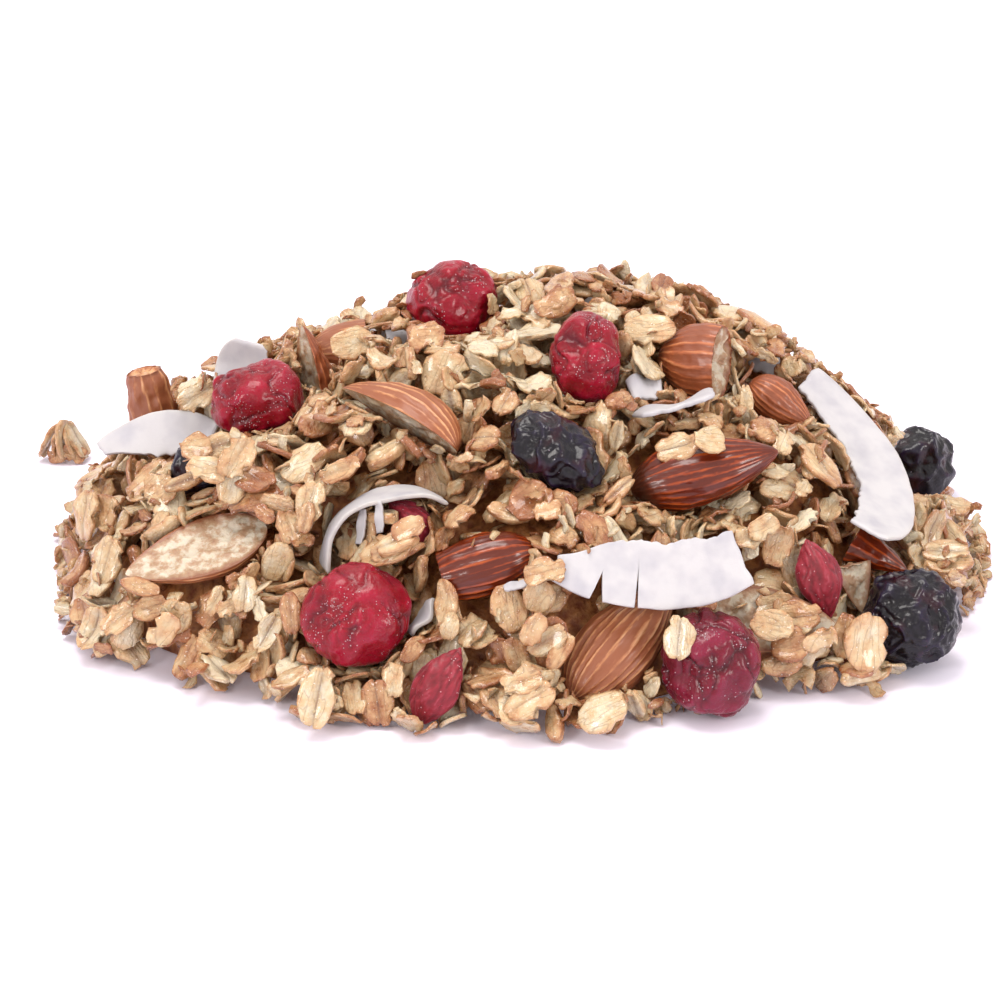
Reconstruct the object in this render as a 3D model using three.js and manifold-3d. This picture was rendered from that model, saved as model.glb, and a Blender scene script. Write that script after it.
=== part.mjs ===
// A heap of baked granola as it lies on a table: oat flakes stuck together with honey, with
// almonds, sugared cherries, dark dried berries, goji berries and coconut chips on and in it.
// Millimetres, +Z up, the table at z = 0. The origin is the middle of the heap's footprint,
// +X runs to the right and +Y away from the viewer.

import * as THREE from "three";
import { mergeVertices } from "three/addons/utils/BufferGeometryUtils.js";
import Module from "manifold-3d";

const wasm = await Module();
wasm.setup();

// ---------------------------------------------------------------- driving dimensions, in mm

const heap = {
  halfWidth: 77,
  halfDepth: 60,
  height: 39,
  outlinePower: 2.1, // 2 is an ellipse, more is squarer
  domePower: 2.4, // 2 is a rounded cap, more is a fuller dome
  coat: 5.5, // depth of the loose pieces over the solid core
  lip: 1.5, // height of the core's own edge
  swellFade: 0.25, // share of the way in from the edge over which swells grow to full height
};

// Places where the heap stands higher or lower than the even dome.
const swells = [
  { x: 32, y: 20, rise: 5, spread: 16 },
  { x: 6, y: 22, rise: 2, spread: 12 },
  { x: -30, y: 12, rise: -2, spread: 14 },
  { x: -58, y: 12, rise: 4, spread: 10 },
];

// Where large pieces stand against the heap, its core is lower.
const hollows = [
  { x: 31, y: -50, depth: 8, spread: 6 },
  { x: -20, y: -33, depth: 9, spread: 8 },
  { x: 17, y: -48, depth: 3, spread: 6 },
];

// The footprint's uneven edge: waves round it, each a share of its radius.
const edgeWaves = [
  { waves: 3, share: 0.014, phase: 1.0 },
  { waves: 5, share: 0.016, phase: 2.6 },
  { waves: 9, share: 0.018, phase: 0.4 },
];

// The core's grid; its rings lie closer together towards the edge.
const core = { rings: 9, sectors: 36, crowding: 0.85 };

const oat = {
  length: 9.2,
  width: 6.6,
  thickness: 1.5,
  sides: 6,
  sizeSpread: 0.22, // share by which one flake's size may differ from the next
  cornerSpread: 0.3, // share by which a corner's distance and angle may differ
  bow: 0.5, // most that a flake bows up or down
  count: 228,
  crowding: 0.43, // 0.5 spreads the flakes evenly, less crowds them towards the foot
  lean: [0.3, 1.35], // radians by which the flakes lean out of the heap's surface
  bite: 0.8, // how deep a flake's lowest point stands in the core
  sinks: [0, 1.4, 2.8], // tried in turn where a topping is in the way
  seed: 2206,
};

const clearance = 0.35; // between any two pieces that lie against each other
const liftStep = 0.25; // a topping is raised by this until it is clear

const almondForm = {
  length: 24,
  width: 12.6,
  thickness: 8.6,
  bluntness: 0.76, // less moves the widest place towards the round end
  fullness: 0.78, // less fills out both ends
  rings: 9,
  sides: 10,
};

const fruitForm = { detail: 3, crossWave: 2.1, slant: 0.8, dentSharpness: 6 };

const gojiForm = {
  fullness: 0.85,
  pleats: 4,
  pleatDepth: 0.08, // share of the half width
  pleatTwist: 5,
  bend: 0.9,
  rings: 8,
  sides: 8,
};

const chipForm = {
  thickness: 0.8,
  wave: 0.5, // height of the waves out of the chip's plane
  waviness: 9, // radians of wave over the chip's length
  tear: 0.12, // share of the half width by which the inner edge is uneven
  tears: 23, // radians of unevenness over the chip's length
  tipPower: 4, // more keeps the width further towards the tips
  steps: 10,
  across: 3,
};

// ---------------------------------------------------------------- colours

function finish(color, roughness) {
  return new THREE.MeshStandardMaterial({ color, roughness, metalness: 0 });
}

const finishes = {
  oat: finish(0xb98a52, 0.6),
  almond: finish(0x9a5a34, 0.45),
  cherry: finish(0xa5182d, 0.3),
  darkBerry: finish(0x241c2c, 0.35),
  goji: finish(0xb03040, 0.5),
  coconut: finish(0xf2f0f2, 0.6),
};

// ---------------------------------------------------------------- the heap's form

/** How far the footprint's edge lies from the even outline at an angle, as a share of 1. */
function edgeShare(angle) {
  return edgeWaves.reduce((sum, w) => sum + w.share * Math.sin(w.waves * angle + w.phase), 1);
}

/** Distance from the middle as a share of the way to the footprint's edge. */
function reach(x, y) {
  const across = Math.abs(x / heap.halfWidth) ** heap.outlinePower;
  const deep = Math.abs(y / heap.halfDepth) ** heap.outlinePower;
  return (across + deep) ** (1 / heap.outlinePower) / edgeShare(Math.atan2(y, x));
}

/** Height of the granola's surface over the table. */
function surfaceHeight(x, y) {
  const r = Math.min(reach(x, y), 1);
  const fade = Math.min((1 - r) / heap.swellFade, 1);
  const dome = heap.height * (1 - r ** heap.domePower);
  return swells.reduce((z, s) => {
    const away = (x - s.x) ** 2 + (y - s.y) ** 2;
    return z + fade * s.rise * Math.exp(-away / (2 * s.spread ** 2));
  }, dome);
}

/** Height of the core under the loose pieces, never lower than its edge. */
function coreHeight(x, y) {
  const sunk = hollows.reduce((sum, h) => {
    const away = (x - h.x) ** 2 + (y - h.y) ** 2;
    return sum + h.depth * Math.exp(-away / (2 * h.spread ** 2));
  }, heap.coat);
  return Math.max(surfaceHeight(x, y) - sunk, heap.lip);
}

/** Direction that the surface faces, found from its heights a millimetre either side. */
function surfaceNormal(x, y) {
  const slopeX = (surfaceHeight(x + 1, y) - surfaceHeight(x - 1, y)) / 2;
  const slopeY = (surfaceHeight(x, y + 1) - surfaceHeight(x, y - 1)) / 2;
  return new THREE.Vector3(-slopeX, -slopeY, 1).normalize();
}

/** Point on the footprint at an angle and at a share of the way to its edge. */
function footprintPoint(angle, share) {
  const direction = new THREE.Vector2(Math.cos(angle), Math.sin(angle));
  return direction.multiplyScalar(share / reach(direction.x, direction.y));
}

// ---------------------------------------------------------------- solids and geometry

/** Merged copy of a geometry, with its positions alone. */
function merged(geometry) {
  const bare = geometry.clone();
  bare.deleteAttribute("normal");
  bare.deleteAttribute("uv");
  return mergeVertices(bare, 1e-4);
}

/** The solid of a closed geometry, placed by a matrix. */
function solidOf(geometry, matrix = new THREE.Matrix4()) {
  const placed = merged(geometry).applyMatrix4(matrix);
  return new wasm.Manifold(
    new wasm.Mesh({
      numProp: 3,
      vertProperties: placed.attributes.position.array,
      triVerts: new Uint32Array(placed.index.array),
    }),
  );
}

/** The geometry of a solid. */
function geometryOf(solid) {
  const mesh = solid.getMesh();
  const geometry = new THREE.BufferGeometry();
  geometry.setAttribute("position", new THREE.BufferAttribute(mesh.vertProperties, 3));
  geometry.setIndex(new THREE.BufferAttribute(mesh.triVerts, 1));
  geometry.computeVertexNormals();
  return geometry;
}

/** Geometry of indexed points. */
function indexed(points, triangles) {
  const geometry = new THREE.BufferGeometry().setFromPoints(points);
  geometry.setIndex(triangles.flat());
  return geometry;
}

/** Closed skin round a line of rings, with a pole at each end. pointAt(t, angle) gives it. */
function ringedSkin(rings, sides, pointAt) {
  const points = [pointAt(0, 0)];
  for (let i = 1; i < rings; i += 1) {
    const t = (1 - Math.cos((Math.PI * i) / rings)) / 2;
    for (let j = 0; j < sides; j += 1) points.push(pointAt(t, (2 * Math.PI * j) / sides));
  }
  points.push(pointAt(1, 0));
  const last = points.length - 1;
  const at = (ring, side) => 1 + (ring - 1) * sides + (side % sides);
  const triangles = [];
  for (let j = 0; j < sides; j += 1) {
    triangles.push([0, at(1, j + 1), at(1, j)]);
    triangles.push([last, at(rings - 1, j), at(rings - 1, j + 1)]);
    for (let i = 1; i < rings - 1; i += 1) {
      triangles.push([at(i, j), at(i, j + 1), at(i + 1, j)]);
      triangles.push([at(i, j + 1), at(i + 1, j + 1), at(i + 1, j)]);
    }
  }
  return indexed(points, triangles);
}

/** A box as a solid, from its lowest to its highest corner. */
function boxSolid(low, high) {
  const size = new THREE.Vector3().subVectors(high, low);
  const middle = new THREE.Vector3().addVectors(low, high).multiplyScalar(0.5);
  const place = new THREE.Matrix4().makeTranslation(middle);
  return solidOf(new THREE.BoxGeometry(size.x, size.y, size.z), place);
}

/** Seeded random numbers from 0 to 1. */
function randomFrom(seed) {
  let state = seed;
  return () => {
    state = (state + 0x6d2b79f5) | 0;
    let t = Math.imul(state ^ (state >>> 15), 1 | state);
    t = (t + Math.imul(t ^ (t >>> 7), 61 | t)) ^ t;
    return ((t ^ (t >>> 14)) >>> 0) / 4294967296;
  };
}

// ---------------------------------------------------------------- one maker for each kind

/** Almond along X, its tip at +X, its flat sides up and down. grow widens it all round. */
function wholeAlmond(size, grow) {
  return ringedSkin(size.rings, size.sides, (t, angle) => {
    const half = Math.sin(Math.PI * t ** size.bluntness) ** size.fullness / 2;
    return new THREE.Vector3(
      (t - 0.5) * (size.length + 2 * grow),
      half * (size.width + 2 * grow) * Math.cos(angle),
      half * (size.thickness + 2 * grow) * Math.sin(angle),
    );
  });
}

/**
 * Almond or a piece of one: keep is the stretch of its length that is left, and split takes
 * away the half under its middle plane. The piece is centred on what is left of its length.
 */
function almond(spec, grow = 0) {
  const size = { ...almondForm, ...spec };
  const [from, to] = (spec.keep ?? [0, 1]).map((share) => (share - 0.5) * size.length);
  const low = new THREE.Vector3(-size.length, -size.length, -size.length);
  const high = new THREE.Vector3(size.length, size.length, size.length);
  let solid = solidOf(wholeAlmond(size, grow));
  if (spec.split) {
    solid = solid.subtract(boxSolid(low, high.clone().setZ(-grow)));
  }
  if (spec.keep) {
    solid = solid.subtract(boxSolid(low, high.clone().setX(from - grow)));
    solid = solid.subtract(boxSolid(low.clone().setX(to + grow), high));
  }
  const middle = new THREE.Matrix4().makeTranslation(-(from + to) / 2, 0, 0);
  return merged(geometryOf(solid)).applyMatrix4(middle);
}

/** Shrunken fruit: a ball with its size along X, Y and Z, folded by crossing waves. */
function driedFruit(spec, grow = 0) {
  const form = { ...fruitForm, ...spec };
  const ball = merged(new THREE.IcosahedronGeometry(1, form.detail));
  const place = ball.attributes.position;
  const halves = new THREE.Vector3(...form.size).divideScalar(2).addScalar(grow);
  const dentPoint = new THREE.Vector3(...form.dent);
  const point = new THREE.Vector3();
  for (let i = 0; i < place.count; i += 1) {
    point.fromBufferAttribute(place, i);
    const { x, y, z } = point;
    const lengthwise = Math.sin(form.folds * x + form.crossWave * y + form.turn);
    const crosswise = Math.cos(form.folds * form.slant * z - x + form.turn);
    const dent = Math.exp(-form.dentSharpness * point.distanceToSquared(dentPoint));
    const out = 1 + form.depth * lengthwise * crosswise - form.dentDepth * dent;
    point.multiplyScalar(out).multiply(halves);
    place.setXYZ(i, point.x, point.y, point.z);
  }
  return ball;
}

/** Goji berry: a spindle along X, pleated lengthwise and a little bent. */
function gojiBerry(spec, grow = 0) {
  const [length, width, thickness] = spec.size;
  const { rings, sides, fullness, pleats, pleatDepth, pleatTwist, bend } = gojiForm;
  return ringedSkin(rings, sides, (t, angle) => {
    const arch = Math.sin(Math.PI * t);
    const girth = arch ** fullness * (1 + pleatDepth * Math.sin(pleats * angle + pleatTwist * t));
    return new THREE.Vector3(
      (t - 0.5) * (length + 2 * grow),
      girth * (width / 2 + grow) * Math.cos(angle),
      girth * (thickness / 2 + grow) * Math.sin(angle) + bend * arch,
    );
  });
}

/**
 * Coconut chip: a thin strip along X that bends in its own plane round `arc` and curls out of
 * it round `curl`, both radii. Its outer edge is smooth and its inner one uneven.
 */
function coconutChip(spec, grow = 0) {
  const form = { ...chipForm, ...spec };
  const { arc, curl, steps, across } = form;
  const half = form.thickness / 2 + grow;
  const pointAt = (s, v, side) => {
    const taper = 1 - form.taper * Math.abs(2 * s) ** form.tipPower;
    const uneven = v < 0 ? 1 + form.tear * Math.sin(form.tears * s + form.phase) : 1;
    const wide = v * (form.width + 2 * grow) * taper * uneven;
    const bearing = (s * (form.length + 2 * grow)) / arc;
    const flatX = (arc + wide) * Math.sin(bearing);
    const flatY = (arc + wide) * Math.cos(bearing) - arc;
    const ripple = form.wave * Math.sin(form.waviness * s + form.phase) * (0.5 + v);
    const turn = flatX / curl;
    const radius = curl - ripple - side * half;
    return new THREE.Vector3(radius * Math.sin(turn), flatY, curl - radius * Math.cos(turn));
  };
  const points = [];
  for (const side of [1, -1]) {
    for (let i = 0; i <= steps; i += 1) {
      for (let j = 0; j <= across; j += 1) {
        points.push(pointAt(i / steps - 0.5, j / across - 0.5, side));
      }
    }
  }
  const row = across + 1;
  const under = (steps + 1) * row;
  const triangles = [];
  const square = (a, b, c, d) => triangles.push([a, b, c], [a, c, d]);
  for (let i = 0; i < steps; i += 1) {
    for (let j = 0; j < across; j += 1) {
      const a = i * row + j;
      square(a, a + row, a + row + 1, a + 1);
      triangles.push([under + a, under + a + row + 1, under + a + row]);
      triangles.push([under + a, under + a + 1, under + a + row + 1]);
    }
    const inner = i * row;
    const outer = inner + across;
    square(inner, under + inner, under + inner + row, inner + row);
    square(outer, outer + row, under + outer + row, under + outer);
  }
  for (let j = 0; j < across; j += 1) {
    const end = steps * row + j;
    square(j, j + 1, under + j + 1, under + j);
    square(end, under + end, under + end + 1, end + 1);
  }
  const chip = indexed(points, triangles);
  return form.cuts && grow === 0 ? cutChip(chip, form) : chip;
}

/** A chip with wedges cut into its outer edge: each at a share of its length, wide and deep. */
function cutChip(chip, form) {
  const cut = form.cuts.reduce((solid, { at, wide, deep }) => {
    const wedge = indexed(
      [-1, 1].flatMap((z) => [
        new THREE.Vector3(-wide / 2, 0, z * form.width),
        new THREE.Vector3(wide / 2, 0, z * form.width),
        new THREE.Vector3(0, -deep, z * form.width),
      ]),
      [[0, 1, 2], [3, 5, 4], [0, 3, 4], [0, 4, 1], [1, 4, 5], [1, 5, 2], [2, 5, 3], [2, 3, 0]],
    );
    const bearing = ((at - 0.5) * form.length) / form.arc;
    const edge = form.arc + form.width / 2;
    const place = new THREE.Matrix4().makeRotationZ(-bearing);
    place.setPosition(edge * Math.sin(bearing), edge * Math.cos(bearing) - form.arc, 0);
    return solid.subtract(solidOf(wedge, place));
  }, solidOf(chip));
  return merged(geometryOf(cut));
}

/** Rolled oat flake: an uneven many-sided disc along X. */
function oatFlake(random) {
  const size = 1 + oat.sizeSpread * (2 * random() - 1);
  const rim = [];
  for (let i = 0; i < oat.sides; i += 1) {
    const angle = (2 * Math.PI * (i + oat.cornerSpread * random())) / oat.sides;
    const out = (size * (1 + oat.cornerSpread * (random() - 0.5))) / 2;
    rim.push([out * oat.length * Math.cos(angle), out * oat.width * Math.sin(angle)]);
  }
  const bow = oat.bow * size * (2 * random() - 1);
  const half = (oat.thickness * size) / 2;
  const points = [];
  for (const side of [1, -1]) {
    for (const [x, y] of rim) {
      points.push(new THREE.Vector3(x, y, side * half - bow * ((2 * x) / oat.length) ** 2));
    }
  }
  const n = oat.sides;
  const triangles = [];
  for (let i = 0; i < n; i += 1) {
    const next = (i + 1) % n;
    if (i > 0 && next > 0) triangles.push([0, i, next], [n, n + next, n + i]);
    triangles.push([i, n + i, next], [next, n + i, n + next]);
  }
  return indexed(points, triangles);
}

// ---------------------------------------------------------------- placing

/** Rotation that turns X to `along` and Z as near as it can to `face`. */
function turnedTo(along, face) {
  const x = new THREE.Vector3(...along).normalize();
  const y = new THREE.Vector3(...face).cross(x).normalize();
  const z = new THREE.Vector3().crossVectors(x, y);
  return new THREE.Matrix4().makeBasis(x, y, z);
}

/** Adds a topping at its stated place, raised until it is clear of what it lies on. */
function addTopping(spec, coreSolid) {
  const { make, material } = kinds[spec.kind];
  const turn = turnedTo(spec.along, spec.face);
  const place = new THREE.Vector3(...spec.at);
  const grown = solidOf(make(spec, clearance), turn);
  place.z = Math.max(place.z, -grown.boundingBox().min[2] - clearance);
  const blocked = () => {
    const here = grown.translate([place.x, place.y, place.z]);
    return [coreSolid, ...toppingSolids].some((other) => here.intersect(other).volume() > 0);
  };
  while (blocked()) place.z += liftStep;
  const mesh = new THREE.Mesh(make(spec), material);
  mesh.name = spec.name;
  mesh.position.copy(place);
  mesh.rotation.setFromRotationMatrix(turn);
  toppings.push(mesh);
  toppingSolids.push(grown.translate([place.x, place.y, place.z]));
}

// ---------------------------------------------------------------- what lies on the heap

const kinds = {
  almond: { make: almond, material: finishes.almond },
  cherry: { make: driedFruit, material: finishes.cherry },
  darkBerry: { make: driedFruit, material: finishes.darkBerry },
  goji: { make: gojiBerry, material: finishes.goji },
  coconut: { make: coconutChip, material: finishes.coconut },
};

// Each piece in the order in which they came to lie: its middle, the way its length runs and
// the way its upper side faces.
const layout = [
  {
    name: "almond_deep", kind: "almond", at: [-3.3, -44, 20.5], along: [-0.96, -0.1, -0.25],
    face: [0, -0.6, 0.8], length: 22, keep: [0, 0.7], width: 10.5,
  },
  {
    name: "cherry_front", kind: "cherry", at: [-24, -49.5, 14.5], along: [1, 0, 0.1],
    face: [0, -0.75, 0.66], size: [16.8, 16, 11.5], folds: 5, turn: 5.2, depth: 0.05,
    dent: [-0.1, 0, 1], dentDepth: 0.16,
  },
  {
    name: "coconut_sliver", kind: "coconut", at: [-13.8, -48, 13.3], along: [-0.51, -0.5, -0.7],
    face: [-0.84, -0.1, 0.6], length: 6.5, width: 4, arc: 25, curl: 30, taper: 0.4, phase: 5.0,
    steps: 5, across: 2,
  },
  {
    name: "almond_ribbed", kind: "almond", at: [17, -49.1, 9.6], along: [0.64, 0.54, 0.54],
    face: [0, -0.75, 0.66], split: true,
  },
  {
    name: "cherry_right", kind: "cherry", at: [30.8, -53.5, 8.2], along: [1, 0, -0.1],
    face: [0, -0.8, 0.6], size: [16, 16.5, 13], folds: 4, turn: 0.9, depth: 0.07,
    dent: [-0.6, -0.4, 0.7], dentDepth: 0.25,
  },
  {
    name: "goji_front", kind: "goji", at: [-11.3, -57.5, 6], along: [0.5, 0.35, 0.8],
    face: [-0.3, -0.9, 0.4], size: [14, 7.5, 5.5],
  },
  {
    name: "almond_pale", kind: "almond", at: [39.5, -43, 10.5], along: [0.97, -0.1, -0.05],
    face: [0, 0.75, -0.66], split: true, length: 22, width: 11,
  },
  {
    name: "goji_right", kind: "goji", at: [48, -37.5, 15], along: [0.3, -0.35, -0.88],
    face: [0.1, -0.8, 0.5], size: [13, 7.2, 5.5],
  },
  {
    name: "almond_cut_face", kind: "almond", at: [-49.4, -32.6, 17.7],
    along: [-0.93, -0.25, -0.25], face: [0, 0.35, -0.94], split: true, length: 23.5,
  },
  {
    name: "goji_in_curl", kind: "goji", at: [-15.5, -35, 23], along: [0.7, -0.25, -0.67],
    face: [0, -0.6, 0.8], size: [10.5, 6.4, 5],
  },
  {
    name: "coconut_curl", kind: "coconut", at: [-23, -34.5, 26.8], along: [0.87, 0.25, 0.42],
    face: [0.48, -0.16, -0.86], length: 26, width: 8, arc: 200, curl: 12, taper: 0.1,
    phase: 0.2, steps: 12,
  },
  {
    name: "dark_berry_left", kind: "darkBerry", at: [-48.9, -14.4, 23.6],
    along: [0.95, 0.2, 0.2], face: [0, -0.5, 0.85], size: [11, 9, 8.5], folds: 4, turn: 3.6,
    depth: 0.07, dent: [0, 0, 1], dentDepth: 0.1, detail: 2,
  },
  {
    name: "coconut_left", kind: "coconut", at: [-57.5, -1, 23], along: [-0.97, 0.1, -0.22],
    face: [-0.3, -0.7, 0.65], length: 19, width: 8.5, arc: 26, curl: 60, taper: 0.5, phase: 1.1,
    steps: 9,
  },
  {
    name: "almond_chunk_left", kind: "almond", at: [-59.8, 13.5, 23.6],
    along: [-0.2, 0.1, 0.97], face: [-0.1, -0.95, 0.1], keep: [0.3, 0.75], width: 9,
  },
  {
    name: "coconut_standing", kind: "coconut", at: [-44.5, 6.5, 30], along: [0.1, 0.38, 0.92],
    face: [0, -0.92, 0.38], length: 14, width: 8.8, arc: 40, curl: 40, taper: 0.5, phase: 3.0,
    steps: 7,
  },
  {
    name: "cherry_left", kind: "cherry", at: [-41, -5, 32], along: [0.95, 0.1, 0.2],
    face: [0, -0.3, 0.95], size: [15.5, 13, 11], folds: 5, turn: 0.4, depth: 0.06,
    dent: [-0.3, -0.9, 0.4], dentDepth: 0.12,
  },
  {
    name: "almond_upright", kind: "almond", at: [-33.5, 5.5, 34.8], along: [-0.1, 0.15, 0.98],
    face: [0.85, -0.5, 0.1], split: true, length: 18, width: 9, keep: [0.4, 1],
  },
  {
    name: "almond_back", kind: "almond", at: [-28.5, 14, 33], along: [0.97, 0.1, 0.1],
    face: [0, -0.3, 0.95], length: 22, width: 11, thickness: 7, keep: [0, 0.45],
  },
  {
    name: "coconut_back_left", kind: "coconut", at: [-19.5, 23, 31.7], along: [1, 0.2, 0],
    face: [0, -0.3, 0.95], length: 10, width: 8, arc: 40, curl: 50, taper: 0.4, phase: 0.9,
    steps: 5, across: 2,
  },
  {
    name: "almond_split_top", kind: "almond", at: [-17.5, -21, 35.5],
    along: [-0.76, 0.62, 0.18], face: [0.57, 0.55, 0.62], split: true,
  },
  {
    name: "cherry_crown", kind: "cherry", at: [-9.5, 12, 42], along: [1, 0, 0],
    face: [0, -0.2, 1], size: [14.5, 14, 13], folds: 4, turn: 1.9, depth: 0.06,
    dent: [0.4, -0.7, 0.6], dentDepth: 0.12,
  },
  {
    name: "coconut_under", kind: "coconut", at: [21.4, -11.5, 36.4], along: [0.9, 0.3, -0.1],
    face: [0, -0.5, 0.87], length: 5.5, width: 5, arc: 40, curl: 40, taper: 0.3, phase: 3.3,
    steps: 4, across: 2,
  },
  {
    name: "cherry_back", kind: "cherry", at: [12, -11, 41.5], along: [0, 0.4, 0.9],
    face: [0, -0.9, 0.4], size: [15, 11.6, 11.5], folds: 4.5, turn: 3.1, depth: 0.06,
    dent: [0.1, 0.2, 1], dentDepth: 0.15,
  },
  {
    name: "dark_berry_middle", kind: "darkBerry", at: [7.2, -31, 33.8],
    along: [0.8, -0.4, -0.45], face: [0.2, -0.5, 0.85], size: [15.5, 10.5, 9.5], folds: 5,
    turn: 2.2, depth: 0.08, dent: [0.2, 0.1, 1], dentDepth: 0.15,
  },
  {
    name: "almond_glossy", kind: "almond", at: [30.2, -28, 29.3], along: [0.96, 0.1, 0.23],
    face: [0, -0.6, 0.8], width: 11.5,
  },
  {
    name: "almond_broken", kind: "almond", at: [28.7, -5, 38.5], along: [0.9, -0.43, 0.1],
    face: [-0.43, -0.82, 0.37], keep: [0, 0.5], length: 22,
  },
  {
    name: "almond_small", kind: "almond", at: [43.5, -5, 31], along: [0.78, -0.3, -0.5],
    face: [0.35, -0.35, 0.87], length: 12, width: 8, thickness: 7,
  },
  {
    name: "coconut_edge", kind: "coconut", at: [25.9, -19.3, 36.5], along: [0.94, 0.2, 0.2],
    face: [-0.2, 0.25, 0.95], length: 13, width: 6, arc: 40, curl: 60, taper: 0.3, phase: 4.0,
    steps: 5, across: 2,
  },
  {
    name: "coconut_back", kind: "coconut", at: [17, 22, 38.6], along: [1, 0.1, 0],
    face: [0, -0.4, 0.9], length: 14, width: 8, arc: 35, curl: 40, taper: 0.4, phase: 1.7,
    steps: 5, across: 2,
  },
  {
    name: "coconut_back_right", kind: "coconut", at: [43.3, 13, 30.5], along: [0.9, -0.2, -0.3],
    face: [0.3, -0.6, 0.75], length: 8, width: 5, arc: 35, curl: 40, taper: 0.4, phase: 2.7,
    steps: 4, across: 2,
  },
  {
    name: "dark_berry_back", kind: "darkBerry", at: [69.9, 27.9, 6], along: [0.3, 0.2, 1],
    face: [0.3, -0.9, 0.2], size: [12.5, 11.5, 10.5], folds: 4.5, turn: 4.4, depth: 0.08,
    dent: [0.1, 0.3, 1], dentDepth: 0.14, detail: 2,
  },
  {
    name: "dark_berry_right", kind: "darkBerry", at: [62.8, -37, 8.1], along: [1, 0.1, 0],
    face: [0, -0.5, 0.85], size: [15.5, 15, 14], folds: 4.5, turn: 0.2, depth: 0.07,
    dent: [0, -0.2, 1], dentDepth: 0.15,
  },
  {
    name: "almond_torn", kind: "almond", at: [58.5, -26.5, 13.6], along: [0.85, -0.35, -0.35],
    face: [0.3, -0.6, 0.7], keep: [0.6, 1], width: 8.5, thickness: 6,
  },
  {
    name: "almond_wedge", kind: "almond", at: [54.5, -32, 10.5], along: [0.2, -0.4, -0.85],
    face: [0.2, -0.85, 0.4], keep: [0.65, 1], width: 6, thickness: 5, length: 20,
  },
  {
    name: "coconut_right", kind: "coconut", at: [59.5, -11, 21.2], along: [0.2, -0.93, -0.3],
    face: [0.35, -0.15, 0.92], length: 44, width: 9.5, arc: 25, curl: 70, taper: 0.3,
    phase: 2.0, steps: 18,
  },
  {
    name: "coconut_front", kind: "coconut", at: [21.3, -49.5, 20.5], along: [-1, -0.05, 0.06],
    face: [0.05, -0.75, 0.6], length: 29, width: 10.5, arc: 36, curl: 60, taper: 0.15,
    phase: 0.4, steps: 14,
    cuts: [{ at: 0.76, wide: 1.8, deep: 4.8 }, { at: 0.57, wide: 0.5, deep: 6.5 }],
  },
];

const strayCluster = { name: "stray_cluster", at: [-78.5, 45], flakes: 5, spacing: 1.5, seed: 17 };

// ---------------------------------------------------------------- building

/** The bare core: the surface less its coat of loose pieces, on a flat foot. */
function coreGeometry() {
  const points = [new THREE.Vector3(0, 0, coreHeight(0, 0))];
  const edge = (1 - (heap.coat + heap.lip) / heap.height) ** (1 / heap.domePower);
  for (let i = 1; i <= core.rings; i += 1) {
    for (let j = 0; j < core.sectors; j += 1) {
      const share = edge * (i / core.rings) ** core.crowding;
      const { x, y } = footprintPoint((2 * Math.PI * j) / core.sectors, share);
      points.push(new THREE.Vector3(x, y, coreHeight(x, y)));
    }
  }
  const at = (ring, sector) => 1 + (ring - 1) * core.sectors + (sector % core.sectors);
  const foot = points.length;
  for (let j = 0; j < core.sectors; j += 1) {
    points.push(points[at(core.rings, j)].clone().setZ(0));
  }
  const triangles = [];
  for (let j = 0; j < core.sectors; j += 1) {
    const next = (j + 1) % core.sectors;
    triangles.push([0, at(1, j), at(1, j + 1)]);
    for (let i = 1; i < core.rings; i += 1) {
      triangles.push([at(i, j), at(i + 1, j), at(i + 1, j + 1)]);
      triangles.push([at(i, j), at(i + 1, j + 1), at(i, j + 1)]);
    }
    triangles.push([at(core.rings, j), foot + j, foot + next]);
    triangles.push([at(core.rings, j), foot + next, at(core.rings, j + 1)]);
    if (j > 0 && j < core.sectors - 1) triangles.push([foot, foot + next, foot + j]);
  }
  return indexed(points, triangles);
}

/** Flake number i, leaning at random out of the surface, with its lowest point in the core. */
function placedFlake(i, random) {
  const golden = Math.PI * (3 - Math.sqrt(5));
  const share = ((i + 0.5) / oat.count) ** oat.crowding;
  const { x, y } = footprintPoint(i * golden, share);
  const up = surfaceNormal(x, y);
  const bearing = 2 * Math.PI * random();
  const axis = new THREE.Vector3(Math.cos(bearing), Math.sin(bearing), 0);
  const face = up.clone().applyAxisAngle(axis, THREE.MathUtils.lerp(...oat.lean, random()));
  const along = axis.applyAxisAngle(face, Math.PI * random());
  const shape = oatFlake(random).applyMatrix4(turnedTo(along.toArray(), face.toArray()));
  const place = shape.attributes.position;
  let reachDown = 0;
  for (let k = 0; k < place.count; k += 1) {
    reachDown = Math.max(reachDown, -up.dot(new THREE.Vector3().fromBufferAttribute(place, k)));
  }
  const foot = new THREE.Vector3(x, y, coreHeight(x, y));
  const middle = foot.addScaledVector(up, reachDown - oat.bite);
  return { solid: solidOf(shape), middle, up };
}

/** The heap: core and oat flakes as one solid, clear of the toppings, on a flat foot. */
function heapGeometry(coreSolid) {
  const random = randomFrom(oat.seed);
  const fused = [coreSolid];
  for (let i = 0; i < oat.count; i += 1) {
    const { solid, middle, up } = placedFlake(i, random);
    const clear = oat.sinks
      .map((sink) => solid.translate(middle.clone().addScaledVector(up, -sink).toArray()))
      .find((flake) => toppingSolids.every((t) => flake.intersect(t).volume() === 0));
    if (clear) fused.push(clear);
  }
  const far = 2 * heap.halfWidth;
  const table = boxSolid(new THREE.Vector3(-far, -far, -far), new THREE.Vector3(far, far, 0));
  const joined = wasm.Manifold.union(fused).subtract(table);
  const whole = joined.decompose().reduce((a, b) => (a.volume() > b.volume() ? a : b));
  return geometryOf(whole);
}

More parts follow.
